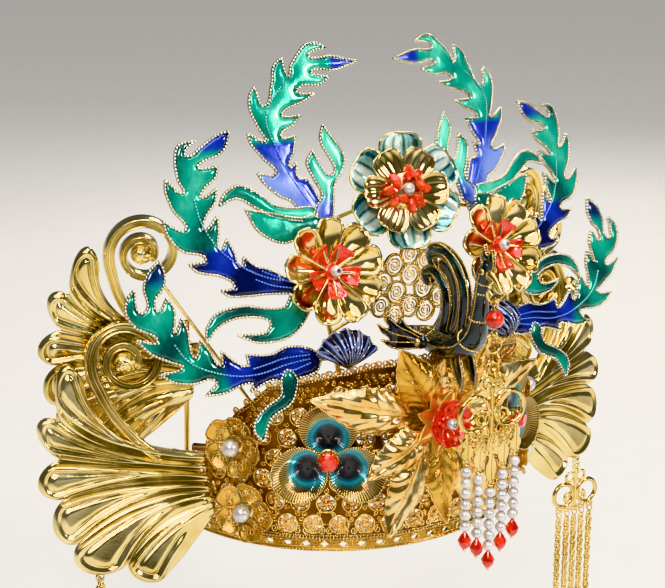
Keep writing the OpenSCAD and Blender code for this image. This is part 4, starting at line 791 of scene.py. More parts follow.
def eye_ring(centre, normal, middle_r, wire_r):
    """Round ring of wire."""
    a = around(28)
    across = unit(np.cross(normal, (0.31, 0.17, 0.93)))
    up = np.cross(normal, across)
    path = np.asarray(centre) + middle_r * (np.cos(a)[:, None] * across + np.sin(a)[:, None] * up)
    return wire(path, normal, wire_r, 10, True)


def wing_point(look, p, out):
    """One point of a wing's sheet."""
    return wing_place(look, np.asarray(p, float), np.asarray(out, float))


TASSEL_EYE = wing_point(LOWER_WING, (69.4, -60.2), -WING_T / 2)


def knob(look):
    """Grained boss in the eye of a scroll: a dome with rings of small bumps."""
    u, v = np.meshgrid(np.linspace(0, 1, 14), around(36))
    size = look["reach"] / 100
    r = u * KNOB_R * size
    bumps = 0.5 * np.sin(u * 15) * np.cos(v * 7 + u * 5)
    h = KNOB_H * np.cos(u * np.pi / 2) ** 0.7 + bumps * u
    p = CURL_CENTRE + np.stack([r * np.cos(v), r * np.sin(v)], -1) / size
    front = wing_place(look, p, h)
    back = wing_place(look, p, np.full_like(h, -KNOB_BACK))
    return slab(front, back, True)


def stamped_wing(name, look):
    """Fan of six lobes, its curl and knob; the lower wing also has the tassel's eye and two posts
    that reach the panel."""
    sheet = Shape()
    for lobe in range(6):
        sheet.add(fan_surface(look, lobe))
    sheet.add(curl_surface(look)).add(knob(look))
    if look is LOWER_WING:
        lean, splay, front = look["place"]
        sheet.add(eye_ring(TASSEL_EYE, (0, 1, 0), EYE_R, EYE_WIRE))
        for z in POST_HEIGHTS:
            x = 1.014 * PANEL_R
            y = front + lean * z + splay * x
            foot = round_point(np.degrees(np.arctan2(x, -y)), PANEL_R + SEAT, z)
            sheet.add(wire(np.linspace(foot, (x, y, z), 5), UP, [2.4, 2.0, 1.9, 1.9, 2.0], 20))
    pair(sheet, "stamped_" + name, CHAMPAGNE_GOLD, "polished_gold", [name])


# ---------------------------------------------------------------- petals and stones
# Outlines of petals: share of the length, share of the width
SPOON = [[0, 0.34], [0.22, 0.66], [0.47, 0.94], [0.72, 1], [0.88, 0.86], [0.96, 0.58], [1, 0.16]]
TEAR = [[0, 0.16], [0.2, 0.4], [0.45, 0.76], [0.68, 1], [0.85, 0.92], [0.95, 0.62], [1, 0.18]]
WEDGE = [[0, 0.3], [0.3, 0.58], [0.7, 0.92], [0.93, 1], [0.98, 0.94], [1, 0.8]]
POINTED = [[0, 0.5], [0.25, 0.95], [0.45, 1], [0.7, 0.66], [0.9, 0.24], [1, 0.04]]


def width_at(shape, u):
    """Share of a petal's width at a share u of its length."""
    rows = smooth_rows(shape, 80)
    return np.interp(u, rows[:, 0], rows[:, 1])


def petal_points(u, v, l, w, r0, rise, cup, shape, ridge=0.0, ribs=0.0):
    """Petal along +Y: width follows the shape's rows; height is rise times u squared, plus a bowl
    that climbs with the square of the distance from its middle, plus a folded ridge and ribs,
    a wave across the width that fades at the foot and the tip."""
    half = width_at(shape, u)
    q = np.clip(v**2 + (np.clip(u - 0.62, 0, 1) / 0.38) ** 2, 0, 1.15)
    z = rise * u * u + cup * q * (0.35 + 0.65 * half) + ridge * (1 - np.abs(v)) * half
    z = z + ribs * np.cos(4 * np.pi * v) * ease(u, 0.1, 0.4) * (1 - ease(u, 0.86, 1))
    return np.stack([v * half * w / 2, r0 + l * u, z], -1)


def creases(u, v):
    """1 in the grooves between a petal's ribs, and 0 on them, at its foot and at its tip; the petals darken
    these grooves as painted shade.
    """
    return (0.5 - 0.5 * np.cos(4 * np.pi * v)) ** 5 * ease(u, 0.06, 0.25) * (1 - ease(u, 0.88, 1))


def petal_ring(shape_, rims, count, turn, place, size, profile, thick=0.7, rim=0.42, lifts=(0,),
               grain=0.0, marks=None, ridge=0.0, ribs=0.0):
    """Equal petals round a flower's middle, each with a wire along its edge. Size is length,
    width, start, rise and cup; lifts take turns."""
    l, w, r0, rise, cup = size
    u, v = np.meshgrid(np.linspace(0, 1, 18), np.linspace(-1, 1, 41 if ribs else 13), indexing="ij")
    front = petal_points(u, v, l, w, r0, rise, cup, profile, ridge, ribs)
    edge_u = np.linspace(0, 1, 22) ** 0.8
    edge = np.vstack([petal_points(edge_u, -1 + 0 * edge_u, l, w, r0, rise, cup, profile),
                      petal_points(edge_u, 1 + 0 * edge_u, l, w, r0, rise, cup, profile)[::-1][1:]])
    for i in range(count):
        a = turn + i * 360 / count
        up = np.array([0, 0, lifts[i % len(lifts)]])
        said = {k: np.concatenate([f(u, v).ravel()] * 2) for k, f in (marks or {}).items()}
        shape_.add(slab(turned(front, a) + up, turned(front - [0, 0, thick], a) + up), place, **said)
        if rim:
            line = turned(edge, a) + up + [0, 0, 0.1]
            if grain:
                rims.add(beaded(line, UP, rim, grain), place)
            else:
                rims.add(wire(line, UP, rim, 7), place)


def cut_gem(d, h, sides=10):
    """Cut stone from height 0 to h: rings of corners for the culet, the girdle, the crown's middle
    and the table, each second ring turned by half a step, with flat three-sided facets between."""
    rings = [(0.22, 0.0, 0), (0.72, 0.3, 0.5), (1.0, 0.54, 0), (1.0, 0.6, 0), (0.84, 0.82, 0.5),
             (0.56, 1.0, 0)]
    a = (np.arange(sides)[None, :] + np.array([r[2] for r in rings])[:, None]) / sides * TAU
    r = np.array([r[0] for r in rings])[:, None] * d / 2
    z = np.broadcast_to(np.array([r[1] for r in rings])[:, None] * h, a.shape)
    points = np.stack([r * np.cos(a), r * np.sin(a), z], -1).reshape(-1, 3)
    faces = []
    j = np.arange(sides)
    k = (j + 1) % sides
    for i in range(len(rings) - 1):
        low, high = i * sides, (i + 1) * sides
        if rings[i][2] == rings[i + 1][2]:
            faces.append(np.stack([low + j, low + k, high + k, high + j], -1))
        elif rings[i + 1][2] > rings[i][2]:
            faces += [np.stack([low + j, low + k, high + j], -1),
                      np.stack([low + k, high + k, high + j], -1)]
        else:
            faces += [np.stack([low + j, low + k, high + k], -1),
                      np.stack([low + j, high + k, high + j], -1)]
    last = (len(rings) - 1) * sides
    faces += [j[None, ::-1], (last + j)[None, :]]
    return points, faces


def gem_finish(name, deep, bright, rough=0.03):
    """Red crystal: deep and bright patches under a glassy skin."""
    f = Finish(name, Coat_Weight=1.0, Coat_Roughness=0.02, IOR=1.6, Metallic=0.35)
    inner = f.noise(380, 4, 0.6)
    colour = f.mix(inner.span(0.35, 0.68), deep, bright)
    return f.feed(Base_Color=colour, Roughness=inner.span(0.3, 0.8, rough, rough + 0.1),
                  Normal=f.relief(f.noise(900, 2), 0.01))


RED_CRYSTAL = gem_finish("red_crystal", (0.42, 0.006, 0.002), (0.96, 0.05, 0.008))
ORANGE_CRYSTAL = gem_finish("orange_red_crystal", (0.62, 0.015, 0.002), (0.95, 0.11, 0.008))
RED_PETAL = gem_finish("red_petal_glaze", (0.50, 0.009, 0.002), (0.92, 0.06, 0.006), 0.08)


def pearl_finish():
    """Pearl: warm white with pale rose and grey clouds under a soft, slightly uneven skin."""
    f = Finish("pearl_skin", Coat_Weight=1.0, Coat_Roughness=0.2, IOR=1.6, Metallic=0.45)
    cloud = f.noise(260, 3)
    colour = f.mix(cloud.span(0.35, 0.7), (0.56, 0.53, 0.51), (0.70, 0.67, 0.64))
    colour = f.mix(f.noise(700, 3).span(0.55, 0.75, 0.0, 0.35), colour, (0.44, 0.43, 0.48))
    return f.feed(Base_Color=colour, Roughness=cloud.span(0.3, 0.7, 0.2, 0.32),
                  Normal=f.relief(f.noise(1400, 2), 0.01))


PEARL = pearl_finish()
SILVER = ((0.01, 0.07, 0.08), (0.20, 0.46, 0.46), (0.88, 0.96, 0.90))
SILVER_TEAL = enamel("silver_teal_enamel", (SILVER, SILVER), 0.9, 0.55, 0.1)


def cup_finish():
    """Cup enamel: near black round its dark core, then teal, cyan and a pale edge, and beyond it
    bare gold cut with fine lines. Its mark core is the distance from the dark core; its mark line
    darkens the grooves of the fine ripples, from the teal outward, as painted shade."""
    f = Finish("deep_blue_cup_enamel", Coat_Weight=0.9, Coat_Roughness=0.03, IOR=1.5)
    core, line = f.mark("core") + (f.noise(160, 3) - 0.5) * 0.09, f.mark("line")
    colour = f.mix(core.span(0.25, 0.36), (0.0, 0.001, 0.004), (0.0, 0.075, 0.12))
    colour = f.mix(core.span(0.34, 0.45), colour, (0.012, 0.56, 0.70))
    colour = f.mix(core.span(0.46, 0.54), colour, (0.60, 0.86, 0.60))
    colour = f.mix(core.span(0.53, 0.61), colour, (0.80, 0.50, 0.12))
    colour = f.mix(line * core.span(0.30, 0.50), colour, (0.04, 0.03, 0.012))
    return f.feed(Base_Color=colour, Metallic=core.span(0.36, 0.56, 0.2, 1.0),
                  Roughness=core.span(0.4, 0.8, 0.07, 0.2), Normal=f.relief(f.noise(700, 2), 0.02))


CUP_ENAMEL = cup_finish()

SIDE_FLOWER_AT, SIDE_FLOWER_AXES = (42.1, 18.6 - PANEL_R, FRONT_H + 38.3), facing(6, 18)


def side_flowers():
    """Nine gold petals with a rolled edge each, on a stem, round a red heart of five wedges."""
    side_place = (SIDE_FLOWER_AT, SIDE_FLOWER_AXES)
    cups, edges = Shape(), Shape()
    petal_ring(cups, edges, 9, 0, side_place, (19.4, 11.4, 2.6, 2.6, 4.2), TEAR, 0.7, 0.72,
               (0, 0.7, 0.35))
    cups.turn([[0.3, -2.4], [6.6, -2.2], [7, -1.2], [6.6, -0.2], [0.3, 0.2]], 28, side_place)
    cups.turn([[0.3, -9.7], [1.5, -9.7], [1.5, -1], [0.3, -1]], 14, side_place)
    edges.turn([[0.1, 0.2], [3.1, 0.6], [3.4, 1.2], [3.0, 1.8], [0.1, 2.0]], 28, side_place)
    edges.turn([[0.1, 1], [0.6, 1], [0.6, 6.5], [0.35, 6.8], [0.1, 6.8]], 12, side_place)
    pair(cups, "side_petals", CHAMPAGNE_GOLD, "polished_gold", ["side_flower"])
    pair(edges, "side_petal_wires", CHAMPAGNE_GOLD, "polished_gold")
    heart = Shape()
    petal_ring(heart, heart, 5, 36, side_place, (9.4, 8.4, 1.6, 3.2, 1.3), WEDGE, 1.0, 0.0, (1.6,))
    heart.turn([[0.9, 1.3], [3.3, 1.5], [3.8, 2.6], [3.2, 3.5], [2.2, 3.4], [1.6, 3.8],
                            [0.9, 3.8]], 24, side_place)
    pair(heart, "side_heart_glaze", RED_PETAL, "red_crystal", ["side_heart"])
TOP_AT = (0, 28.7 - PANEL_R, FRONT_H + 65.4)
TOP_TURN, TOP_TILT = -15, 20
PEARL_R, PEARL_Z = 2.6, 9.4


def top_flower():
    """Silver teal petals behind six gold ones, a cluster of cut stones on a seat and a pearl."""
    top_place, stem_place = (TOP_AT, facing(TOP_TURN, TOP_TILT)), (TOP_AT, facing(0, TOP_TILT))
    back_petals, back_rims = Shape(), Shape()
    # Light of the silver teal petals: a wave of painted sheen across them, and painted shade in the grooves
    # between their ribs
    shades = {"tone": lambda u, v: 0 * u,
              "light": lambda u, v: 0.66 + 0.34 * np.sin(2.6 * v + 3 * u) - 0.7 * creases(u, v)}
    petal_ring(back_petals, back_rims, 6, 0, top_place, (20.5, 18.8, 4.5, 2.4, 2.4), SPOON, 0.8, 0.46,
               (0, 0.8), marks=shades, ribs=0.17)
    back_petals.piece("top_back_petals", SILVER_TEAL, "silver_teal_enamel",
                      ["top_flower_enamel"])
    back_rims.turn([[0.1, -13], [1.5, -13], [1.5, -1.4], [0.1, -1.2]], 20, stem_place)
    back_rims.turn([[0.1, -2.6], [1.9, -2.4], [7.6, -1.2], [8, 0.2], [7.4, 0.6], [0.1, 0.8]], 28, top_place)
    back_rims.turn([[0.1, 0.5], [0.6, 0.5], [0.6, 11.7], [0.8, 11.8], [0.6, 12.3],
                                [0.1, 12.4]], 12, top_place)
    back_rims.piece("top_petal_wires", CHAMPAGNE_GOLD, "polished_gold")
    front_petals = Shape()
    # The front petals' grooves between their ribs are darkened as painted shade
    petal_ring(front_petals, front_petals, 6, 30, top_place, (14.4, 13.4, 4.2, 1.4, 1.0), SPOON, 0.7, 0.34,
               (3.8, 4.5), marks={"dip": lambda u, v: 0.7 * creases(u, v)}, ribs=0.11)
    front_petals.turn([[1.0, 2.0], [5.2, 2.2], [5.6, 3.2], [5.2, 4.1], [1.0, 4.4]], 24, top_place)
    front_petals.piece("top_front_petals", CHAMPAGNE_GOLD, "polished_gold", ["top_flower_gold"])
    stones = Shape()
    for i in range(13):
        low_row = i < 8
        a = np.radians(i * 45 + 8 * np.sin(i * 2.3) if low_row else i * 72 + 20)
        tip = np.radians(26 + 8 * np.sin(i * 1.7) if low_row else 14)
        r, foot = (6.4, 5.9) if low_row else (4.7, 7.2)
        out = np.array([np.cos(a) * np.sin(tip), np.sin(a) * np.sin(tip), np.cos(tip)])
        across = np.array([-np.sin(a), np.cos(a), 0])
        points, faces = cut_gem(4.3, 4.2, 8)
        points = points * ([1.75 - 0.3 * (i % 2), 1, 1] if low_row else [1, 0.9, 1.1])
        spot = placed([r * np.cos(a), r * np.sin(a), foot], *top_place)
        stones.add((points, faces), (spot, np.array([np.cross(across, out), across, out]) @ top_place[1]))
    stones.piece("top_stones_cut", ORANGE_CRYSTAL, "red_crystal",
                 ["top_flower_stones"], smooth=False)
    rise = np.radians(np.linspace(-88, 88, 25))
    skin = np.column_stack([PEARL_R * np.cos(rise), PEARL_Z + PEARL_R * np.sin(rise)])
    pearl = Shape().add(turned_shape(skin, 32), top_place)
    pearl.piece("top_pearl", PEARL, "pearl", ["top_flower_bead"])
    seat_plate = Shape()
    seat_plate.turn([[1.0, 5.2], [7.2, 5.3], [7.4, 5.9], [7.0, 6.5], [1.0, 6.6]], 24, top_place)
    seat_plate.piece("top_stone_seat", CHAMPAGNE_GOLD, "polished_gold")


# ---------------------------------------------------------------- flowers on the panel
CUP_TURN, CUP_D, CUP_REACH, CUP_LINES = 32.8, 0.46 * 52, 26, 60
CORE = np.array([-0.42, 0.0])
# Heights of an enamel cup's front and back: parts of the way out, and the height at each
CUP_FRONT = [0, 0.36, 0.66, 0.86, 1], [0.9, 1.15, 1.95, 3.1, 3.95]
CUP_BACK = [0, 0.4, 0.72, 0.92, 1], [0, 0.25, 1.1, 2.4, 3.5]


def enamel_flowers():
    """Three enamel cups with grained edges round a red stone in six claws. A cup is a bowl whose grid
    runs out from its dark core, with fine ripples in its slope."""
    flower_place = (round_point(CUP_TURN, PANEL_R + SEAT, 44.6), facing(CUP_TURN, 0))
    cup_shells, cup_beads = Shape(), Shape()
    angle, r = np.meshgrid(around(240), np.linspace(0.02, 1, 26), indexing="ij")
    flat = CORE * (1 - r[..., None]) + r[..., None] * np.stack([np.cos(angle), np.sin(angle)], -1)
    reach = np.hypot(flat[..., 0], flat[..., 1])
    ripple = 0.14 * np.cos(angle * CUP_LINES) * ease(r, 0.1, 0.5) * (1 - ease(r, 0.94, 1))
    front = np.dstack([flat * CUP_D / 2, np.interp(reach, *CUP_FRONT) + ripple])
    back = np.dstack([flat * CUP_D / 2, np.interp(reach, *CUP_BACK)])
    core = np.hypot(*(flat - CORE).transpose(2, 0, 1)) / 1.42
    # Troughs of the fine ripples, where the finish paints shade
    line = (np.cos(angle * CUP_LINES) < 0.1) * 0.85
    edge = level(circle(0.497 * CUP_D, 240), 3.9)
    shades = {"core": np.tile(core.ravel(), 2), "line": np.tile(line.ravel(), 2)}
    tip = np.radians(-12)
    tilt = np.array([[np.cos(tip), 0, -np.sin(tip)], [0, 1, 0], [np.sin(tip), 0, np.cos(tip)]])
    for i, turn in enumerate((208, 90, 332)):
        a = np.radians(turn)
        spin = np.array([[np.cos(a), np.sin(a), 0], [-np.sin(a), np.cos(a), 0], [0, 0, 1]])
        centre = placed(np.array([CUP_REACH - CUP_D / 2 + 0.5, 0, 1.4 + 0.6 * i]) @ spin, *flower_place)
        place = (centre, tilt @ spin @ flower_place[1])
        cup_shells.add(slab(front, back, True), place, **shades)
        cup_beads.add(beaded(edge, UP, 0.42, 1.0, True), place)
    pair(cup_shells, "enamel_cups", CUP_ENAMEL, "deep_blue_enamel", ["enamel_flower"])
    cup_beads.turn([[0.1, 0], [4.4, 0.1], [4.5, 3.6], [4.2, 4.0], [0.1, 4.0]], 28, flower_place)
    for k in range(6):
        c, s = np.cos(k * TAU / 6), np.sin(k * TAU / 6)
        claw = np.array([[4.2 * c, 4.2 * s, 3.4], [4.75 * c, 4.75 * s, 5.4], [4.5 * c, 4.5 * s, 7.2],
                         [3.7 * c, 3.7 * s, 8.2]])
        thick = [0.5, 0.45, 0.42, 0.4, 0.4, 0.4, 0.4, 0.42, 0.3]
        cup_beads.add(wire(smooth_rows(claw, 9), (-s, c, 0), thick, 6), flower_place)
    pair(cup_beads, "cup_edges", RIM_GOLD, "pale_gold")
    gem = Shape().add(cut_gem(9, 5.6, 12), (placed([0, 0, 4.3], *flower_place), flower_place[1]))
    pair(gem, "setting_stone_cut", RED_CRYSTAL, "red_crystal", ["setting_stone"], smooth=False)


NET_TURN = 18
# Length, width, start, rise and cup of a net petal
NET_PETAL = (12.2, 12.0, 1.2, 3.4, 1.6)


def pearl_flower(which, turn, z):
    """Five net petals edged with wire, with three curls of wire in each, round a large pearl."""
    place = (round_point(turn, PANEL_R + SEAT, z), facing(turn, 0))
    net, wires = Shape(), Shape()
    petal_ring(net, wires, 5, NET_TURN, place, NET_PETAL, SPOON, 0.6, 0.42, (1.0, 1.35), grain=0.95)
    for k in range(5):
        for v, r, hand in ((0.0, 2.6, 1), (-0.45, 1.5, -1), (0.45, 1.5, 1)):
            curl = spiral(r, 0.5, 1.6, hand, 1.0, 20)
            u = 0.62 + 0.08 * (v == 0) - 0.22 * abs(v)
            base = petal_points(np.array([u]), np.array([v]), *NET_PETAL, SPOON)[0]
            line = level(curl + base[:2], base[2] + 1.6)
            line[:, 2] += 0.10 * np.abs(line[:, 0]) + (k % 2) * 0.3
            wires.add(wire(turned(line, NET_TURN + k * 72), UP, 0.26, 5), place)
    wires.turn([[0.1, 0], [4.4, 0], [4.5, 2.2], [4.0, 2.6], [0.1, 2.6]], 26, place)
    wires.add(beaded(level(circle(4.2, 160), 2.9), UP, 0.5, 1.1, True), place)
    pair(net, f"net_petals_{which}", NET_GOLD, "polished_gold", [f"pearl_flower_{which}"])
    pair(wires, f"net_petal_wires_{which}", RIM_GOLD, "pale_gold")


# ---------------------------------------------------------------- front spray
SPRAY_X, SPRAY_Z, SPRAY_R = -4.5, 0.7 * FRONT_H, PANEL_R + SEAT + 2.2
# Each leaf: angle about the spray's middle, length, width and how far its foot is lifted
LEAVES = [[16, 58, 19, 0], [58, 42, 17, 2.4], [90, 28, 13, 0], [122, 42, 17, 2.4], [164, 58, 19, 0],
          [208.5, 40, 17, 4], [240, 53, 18, 0], [270, 44, 15, 2.4], [300, 53, 18, 0], [331.5, 40, 17, 4]]
NET_LEAVES = (1, 3, 7)
LEAF_SHAPE = [[0.1, 0.2], [0.2, 0.5], [0.33, 0.86], [0.48, 1], [0.62, 0.93], [0.76, 0.66], [0.88, 0.36],
              [0.96, 0.14], [1, 0.03]]


def spray_point(angle, along, across, out):
    """A point above the crown's round side, from the spray's centre."""
    a = np.radians(angle)
    x = SPRAY_X + along * np.cos(a) - across * np.sin(a)
    z = SPRAY_Z + along * np.sin(a) + across * np.cos(a)
    return np.stack([x, -np.sqrt((SPRAY_R + out) ** 2 - x * x), z], -1)


def leaf(angle, l, w, lift):
    """Bent leaf: it climbs away from the crown along its length, both halves swell beside a sunk
    middle line with a raised vein, sharp ribs run forward from it, the edge is notched and the tip
    curls up, and the whole sheet sways a little from side to side."""
    s, v = np.meshgrid(np.linspace(0.1, 1, 90), np.linspace(-1, 1, 27), indexing="ij")
    notch = 1 + 0.1 * np.abs(np.mod(s * 13 - np.abs(v) * 0.6, 1) - 0.5) * 2 * ease(s, 0.2, 0.4)
    half = width_at(LEAF_SHAPE, s) * w / 2 * (1 + (notch - 1) * ease(np.abs(v), 0.6, 1))
    swell = np.sin(np.pi * np.clip(np.abs(v), 0, 1) ** 0.8)
    wide = width_at(LEAF_SHAPE, s)
    out = lift * (1 - 0.4 * s) + 11.5 * l / 64 * s + 2.6 * np.sin(np.pi * s) + 3.0 * ease(s, 0.7, 1) ** 2
    out = out + wide * (2.7 * swell + 1.3 * np.exp(-(v / 0.06) ** 2) - 1.2 * np.abs(v) ** 4)
    ribs = np.abs(np.sin(np.pi * (s * 8.5 - np.abs(v) * 1.6)))
    out = out + (0.9 * ribs - 0.5) * np.clip(np.abs(v) * 2.4, 0, 1) * wide * (1 - 0.5 * v * v)
    out = out + 1.5 * np.sin(s * 6 + angle) * v * wide
    front = spray_point(angle, l * s, v * half, out)
    back = spray_point(angle, l * s, v * half, out - 0.8)
    edges = [spray_point(angle, l * s[:, 0], side * half[:, 0], out[:, end])
             for side, end in ((-1, 0), (1, -1))]
    return slab(front, back), edges


def front_spray():
    """Ten leaves round a boss with wire along their edges, a folded star of eight points and the red
    flower of six petals on it."""
    spray, net_leaves, leaf_edges = Shape(), Shape(), Shape()
    for i, row in enumerate(LEAVES):
        sheet, edges = leaf(*row)
        (net_leaves if i in NET_LEAVES else spray).add(sheet)
        for edge in edges:
            leaf_edges.add(wire(edge, (0, -1, 0), 0.36, 6))
    boss = ((SPRAY_X, -SPRAY_R + 2.2, SPRAY_Z), STANDING)
    spray.turn([[0.1, 0], [6.8, 0.1], [7, 2.0], [6.4, 5.4], [5.4, 6.6], [0.1, 6.8]], 32, boss)
    flower = ((SPRAY_X, -SPRAY_R - 1.5, SPRAY_Z), facing(0, 6))
    spray.turn([[0.1, -2], [0.6, -2], [0.6, 15], [0.4, 15.4], [0.1, 15.4]], 12, flower)
    spray.piece("spray_leaves", LEAF_GOLD, "polished_gold", ["leaf_spray"])
    net_leaves.piece("spray_net_leaves", NET_GOLD, "polished_gold")
    leaf_edges.piece("spray_leaf_edges", LEAF_GOLD, "polished_gold")
    calyx = Shape()
    petal_ring(calyx, calyx, 8, 22.5, flower, (12.4, 6.4, 2.4, 2.4, 0.0), POINTED, 0.9, 0.3, (6.0, 6.3),
               ridge=1.1)
    calyx.turn([[1.0, 5.7], [4.3, 5.8], [4.5, 6.5], [4.2, 7.0], [1.0, 7.0]], 26, flower)
    calyx.piece("star_calyx_folded", SEPAL_GOLD, "pale_gold", ["star_calyx"])
    red_heart = Shape()
    petal_ring(red_heart, red_heart, 6, 0, flower, (8.6, 8.2, 1.2, 3.4, 1.5), WEDGE, 1.0, 0.0, (8.0, 8.35))
    red_heart.turn([[0.9, 7.6], [3.2, 7.7], [3.7, 8.8], [3.1, 10.2], [1.8, 10.4],
                                [0.9, 10.4]], 24, flower)
    red_heart.piece("front_heart_glaze", RED_PETAL, "red_crystal", ["front_heart"])


# ---------------------------------------------------------------- band and panel wirework


def round_line(turns, r, z):
    """Line on the crown's round side."""
    return round_point(np.asarray(turns, float), r, np.asarray(z, float))


def on_round(flat, turn, z, r):
    """Wraps a flat curl, measured across and up, onto the crown's round side."""
    return round_point(turn + np.degrees(flat[:, 0] / r), r, z + flat[:, 1])


def out_of(path):
    """Directions straight out of the round side, one for each point of a line."""
    return unit(path * [1, 1, 0])


def grains(path, radius, pitch):
    """Row of grains on the round side. The line is spaced first, so that each of its points has
    its own direction outward."""
    path = spaced(path, pitch / 4, False)
    return beaded(path, out_of(path), radius, pitch)


# The panel's upper edge: share of the way round, share of the rise
PROFILE = [[0, 1], [0.34, 0.97], [0.57, 0.88], [0.76, 0.77], [0.86, 0.5], [0.94, 0.12], [1.02, 0]]
PANEL_FOOT, PANEL_SIDE_H, PANEL_WRAP = 7.7, 36.0, 78


def rim_height(turn):
    """Height of the panel's upper edge at a turn round the crown."""
    share = np.abs(np.sin(np.radians(turn)))
    rise = np.interp(share, [p[0] for p in PROFILE], [p[1] for p in PROFILE])
    return PANEL_SIDE_H + rise * (FRONT_H - PANEL_SIDE_H)


# The band's holes: height, step in degrees, half width and half height
HOLE_Z, HOLE_STEP, HOLE_W, HOLE_H = 3.7, 5.5, 1.95, 1.15


def band_wirework():
    """Two coarse and two fine rows of grains along the band, rings round its holes and a bead between."""
    band_wires, holes = Shape(), Shape()
    sweep = np.linspace(-99.6, 99.6, 700)
    for z, r, pitch in ((0.95, 0.62, 1.45), (6.45, 0.62, 1.45), (2.35, 0.3, 0.85), (5.05, 0.3, 0.85)):
        band_wires.add(grains(round_line(sweep, BAND_R + (0.15 if pitch > 1 else 0.12), z), r, pitch))
    for turn in np.arange(-94.5, 95, HOLE_STEP):
        ring = on_round(circle(1, 18) * [HOLE_W, HOLE_H], turn, HOLE_Z, BAND_R + 0.25)
        holes.add(wire(ring, out_of(ring), 0.34, 6, True))
        axes = facing(turn + np.degrees(4.0 / BAND_R), 0)
        holes.turn([[0.05, -0.1], [0.5, -0.1], [0.42, 0.45], [0.2, 0.68], [0.05, 0.72]], 7,
                   (round_point(turn + HOLE_STEP / 2, BAND_R, HOLE_Z), axes))
    band_wires.piece("band_grain_wires", RIM_GOLD, "pale_gold")
    holes.piece("band_hole_rings", BRIGHT_GOLD, "polished_gold")


# Rosettes stand over the panel's round holes, in staggered rows
SCROLL_PITCH, SCROLL_ROWS = 11, 10
ROW, STEP, MARGIN = SCROLL_PITCH * 0.87, np.degrees(SCROLL_PITCH / PANEL_R), 7.2 / 2 + 2.2
RING_AT, CURLS_AT = 4.1, 2.45


def rosette(scrolls, turn, z, phase):
    """Scroll flower of wire in and round one hole: a ring, six curls round its middle and a bead."""
    ring = on_round(circle(RING_AT, 20), turn, z, PANEL_R + 0.3)
    scrolls.add(wire(ring, out_of(ring), 0.48, 5, True))
    for k in range(6):
        a = phase + k * TAU / 6
        curl = spiral(1.2, 0.3, 1.3, 1 if k % 2 else -1, a + 2.2, 11)
        line = on_round(curl + CURLS_AT * np.array([np.cos(a), np.sin(a)]), turn, z, PANEL_R)
        scrolls.add(wire(line, out_of(line), 0.44, 4))
    scrolls.turn([[0.05, -0.7], [1.2, -0.5], [1.5, 0.1], [1.0, 0.7], [0.05, 0.95]], 9,
                 (round_point(turn, PANEL_R, z), facing(turn, 0)))


def panel_wirework():
    """Rosettes over the panel's holes, small curls between, and rows of grains and curls along its
    foot and its rim."""
    scrolls, fillets = Shape(), Shape()
    centres = []
    for i in range(SCROLL_ROWS):
        z = PANEL_FOOT + MARGIN + i * ROW
        for k, a in enumerate(np.arange((i % 2) * STEP / 2, PANEL_WRAP - STEP / 2, STEP)):
            for s in ((1,) if a == 0 else (-1, 1)):
                if z + MARGIN < rim_height(a + STEP / 3):
                    rosette(scrolls, s * a, z, 0.8 * i + 1.7 * k)
                    centres.append((np.radians(s * a) * PANEL_R, z))
    # Small curls in staggered rows, wherever a rosette leaves room for one
    across, up = np.meshgrid(np.arange(-38, 39) * 3.0, np.arange(26) * 2.65 + 15.4)
    spots = np.column_stack([(across + np.arange(26)[:, None] % 2 * 1.5).ravel(), up.ravel()])
    gap = np.linalg.norm(spots[:, None] - np.array(centres), axis=-1).min(1)
    turns = np.degrees(spots[:, 0] / PANEL_R)
    spots = spots[(gap > 5.1) & (spots[:, 1] + 1.8 < rim_height(turns)) & (np.abs(turns) < 75)]
    for k, (x, z) in enumerate(spots):
        curl = spiral(1.38, 0.3, 1.35, 1 if k % 2 else -1, 2.4 * k, 11)
        line = on_round(curl, np.degrees(x / PANEL_R), z, PANEL_R + 0.25)
        scrolls.add(wire(line, out_of(line), 0.33, 5))
    for turn in np.arange(-75, 75.5, 4.6):
        for s in (-1, 1):
            curl = spiral(1.75, 0.4, 1.5, s, 1.2, 18) * [1, 1.15]
            line = on_round(curl, turn + s * 1.18, 10.6, PANEL_R + 0.35)
            fillets.add(wire(line, out_of(line), 0.34, 5))
    sweep = np.linspace(-77.6, 77.6, 560)
    for z, r, pitch in ((8.3, 0.42, 1.0), (13.6, 0.36, 0.95)):
        fillets.add(grains(round_line(sweep, PANEL_R + 0.2, z), r, pitch))
    edge = round_line(sweep, PANEL_R - 0.35, rim_height(sweep) - 0.25)
    fillets.add(grains(edge, 0.62, 1.35))
    for turn in np.arange(-70, 71, 3.5):
        for s in (-1, 1):
            curl = spiral(1.75, 0.4, 1.35, s, -np.pi / 2, 16) + [s * 1.35, 1.2]
            line = on_round(curl, turn, rim_height(turn), PANEL_R - 0.5)
            scrolls.add(wire(line, out_of(line), 0.42, 5))
    scrolls.piece("panel_scroll_wires", WARM_GOLD, "polished_gold")
    fillets.piece("panel_fillet_wires", RIM_GOLD, "pale_gold")


# Middles of the net's rings, across and up
RINGS = [[0, 17], [-8, 13], [8, 13], [0, 8], [-14, 6], [14, 6], [-7, 1], [7, 1], [-15, -4], [15, -4],
         [0, -6], [-8, -9], [8, -9]]
LATTICE_Y, LATTICE_Z, RING_R = 22 - PANEL_R, FRONT_H + 23, 4.65


def ring_lattice():
    """Grained rings behind the phoenix, with a curl of wire in each."""
    lattice = Shape()
    for x, z in RINGS:
        ring = upright(circle(RING_R, 110, x, LATTICE_Z + z), LATTICE_Y - 0.6)
        lattice.add(beaded(ring, (0, 1, 0), 0.48, 1.05, True))
        curl = spiral(3.6, 0.6, 2.3, 1 if x >= 0 else -1, x, 40) + [x, LATTICE_Z + z]
        lattice.add(wire(upright(curl, LATTICE_Y - 0.2), (0, 1, 0), 0.42, 6))
    lattice.piece("ring_lattice_wires", RIM_GOLD, "pale_gold")


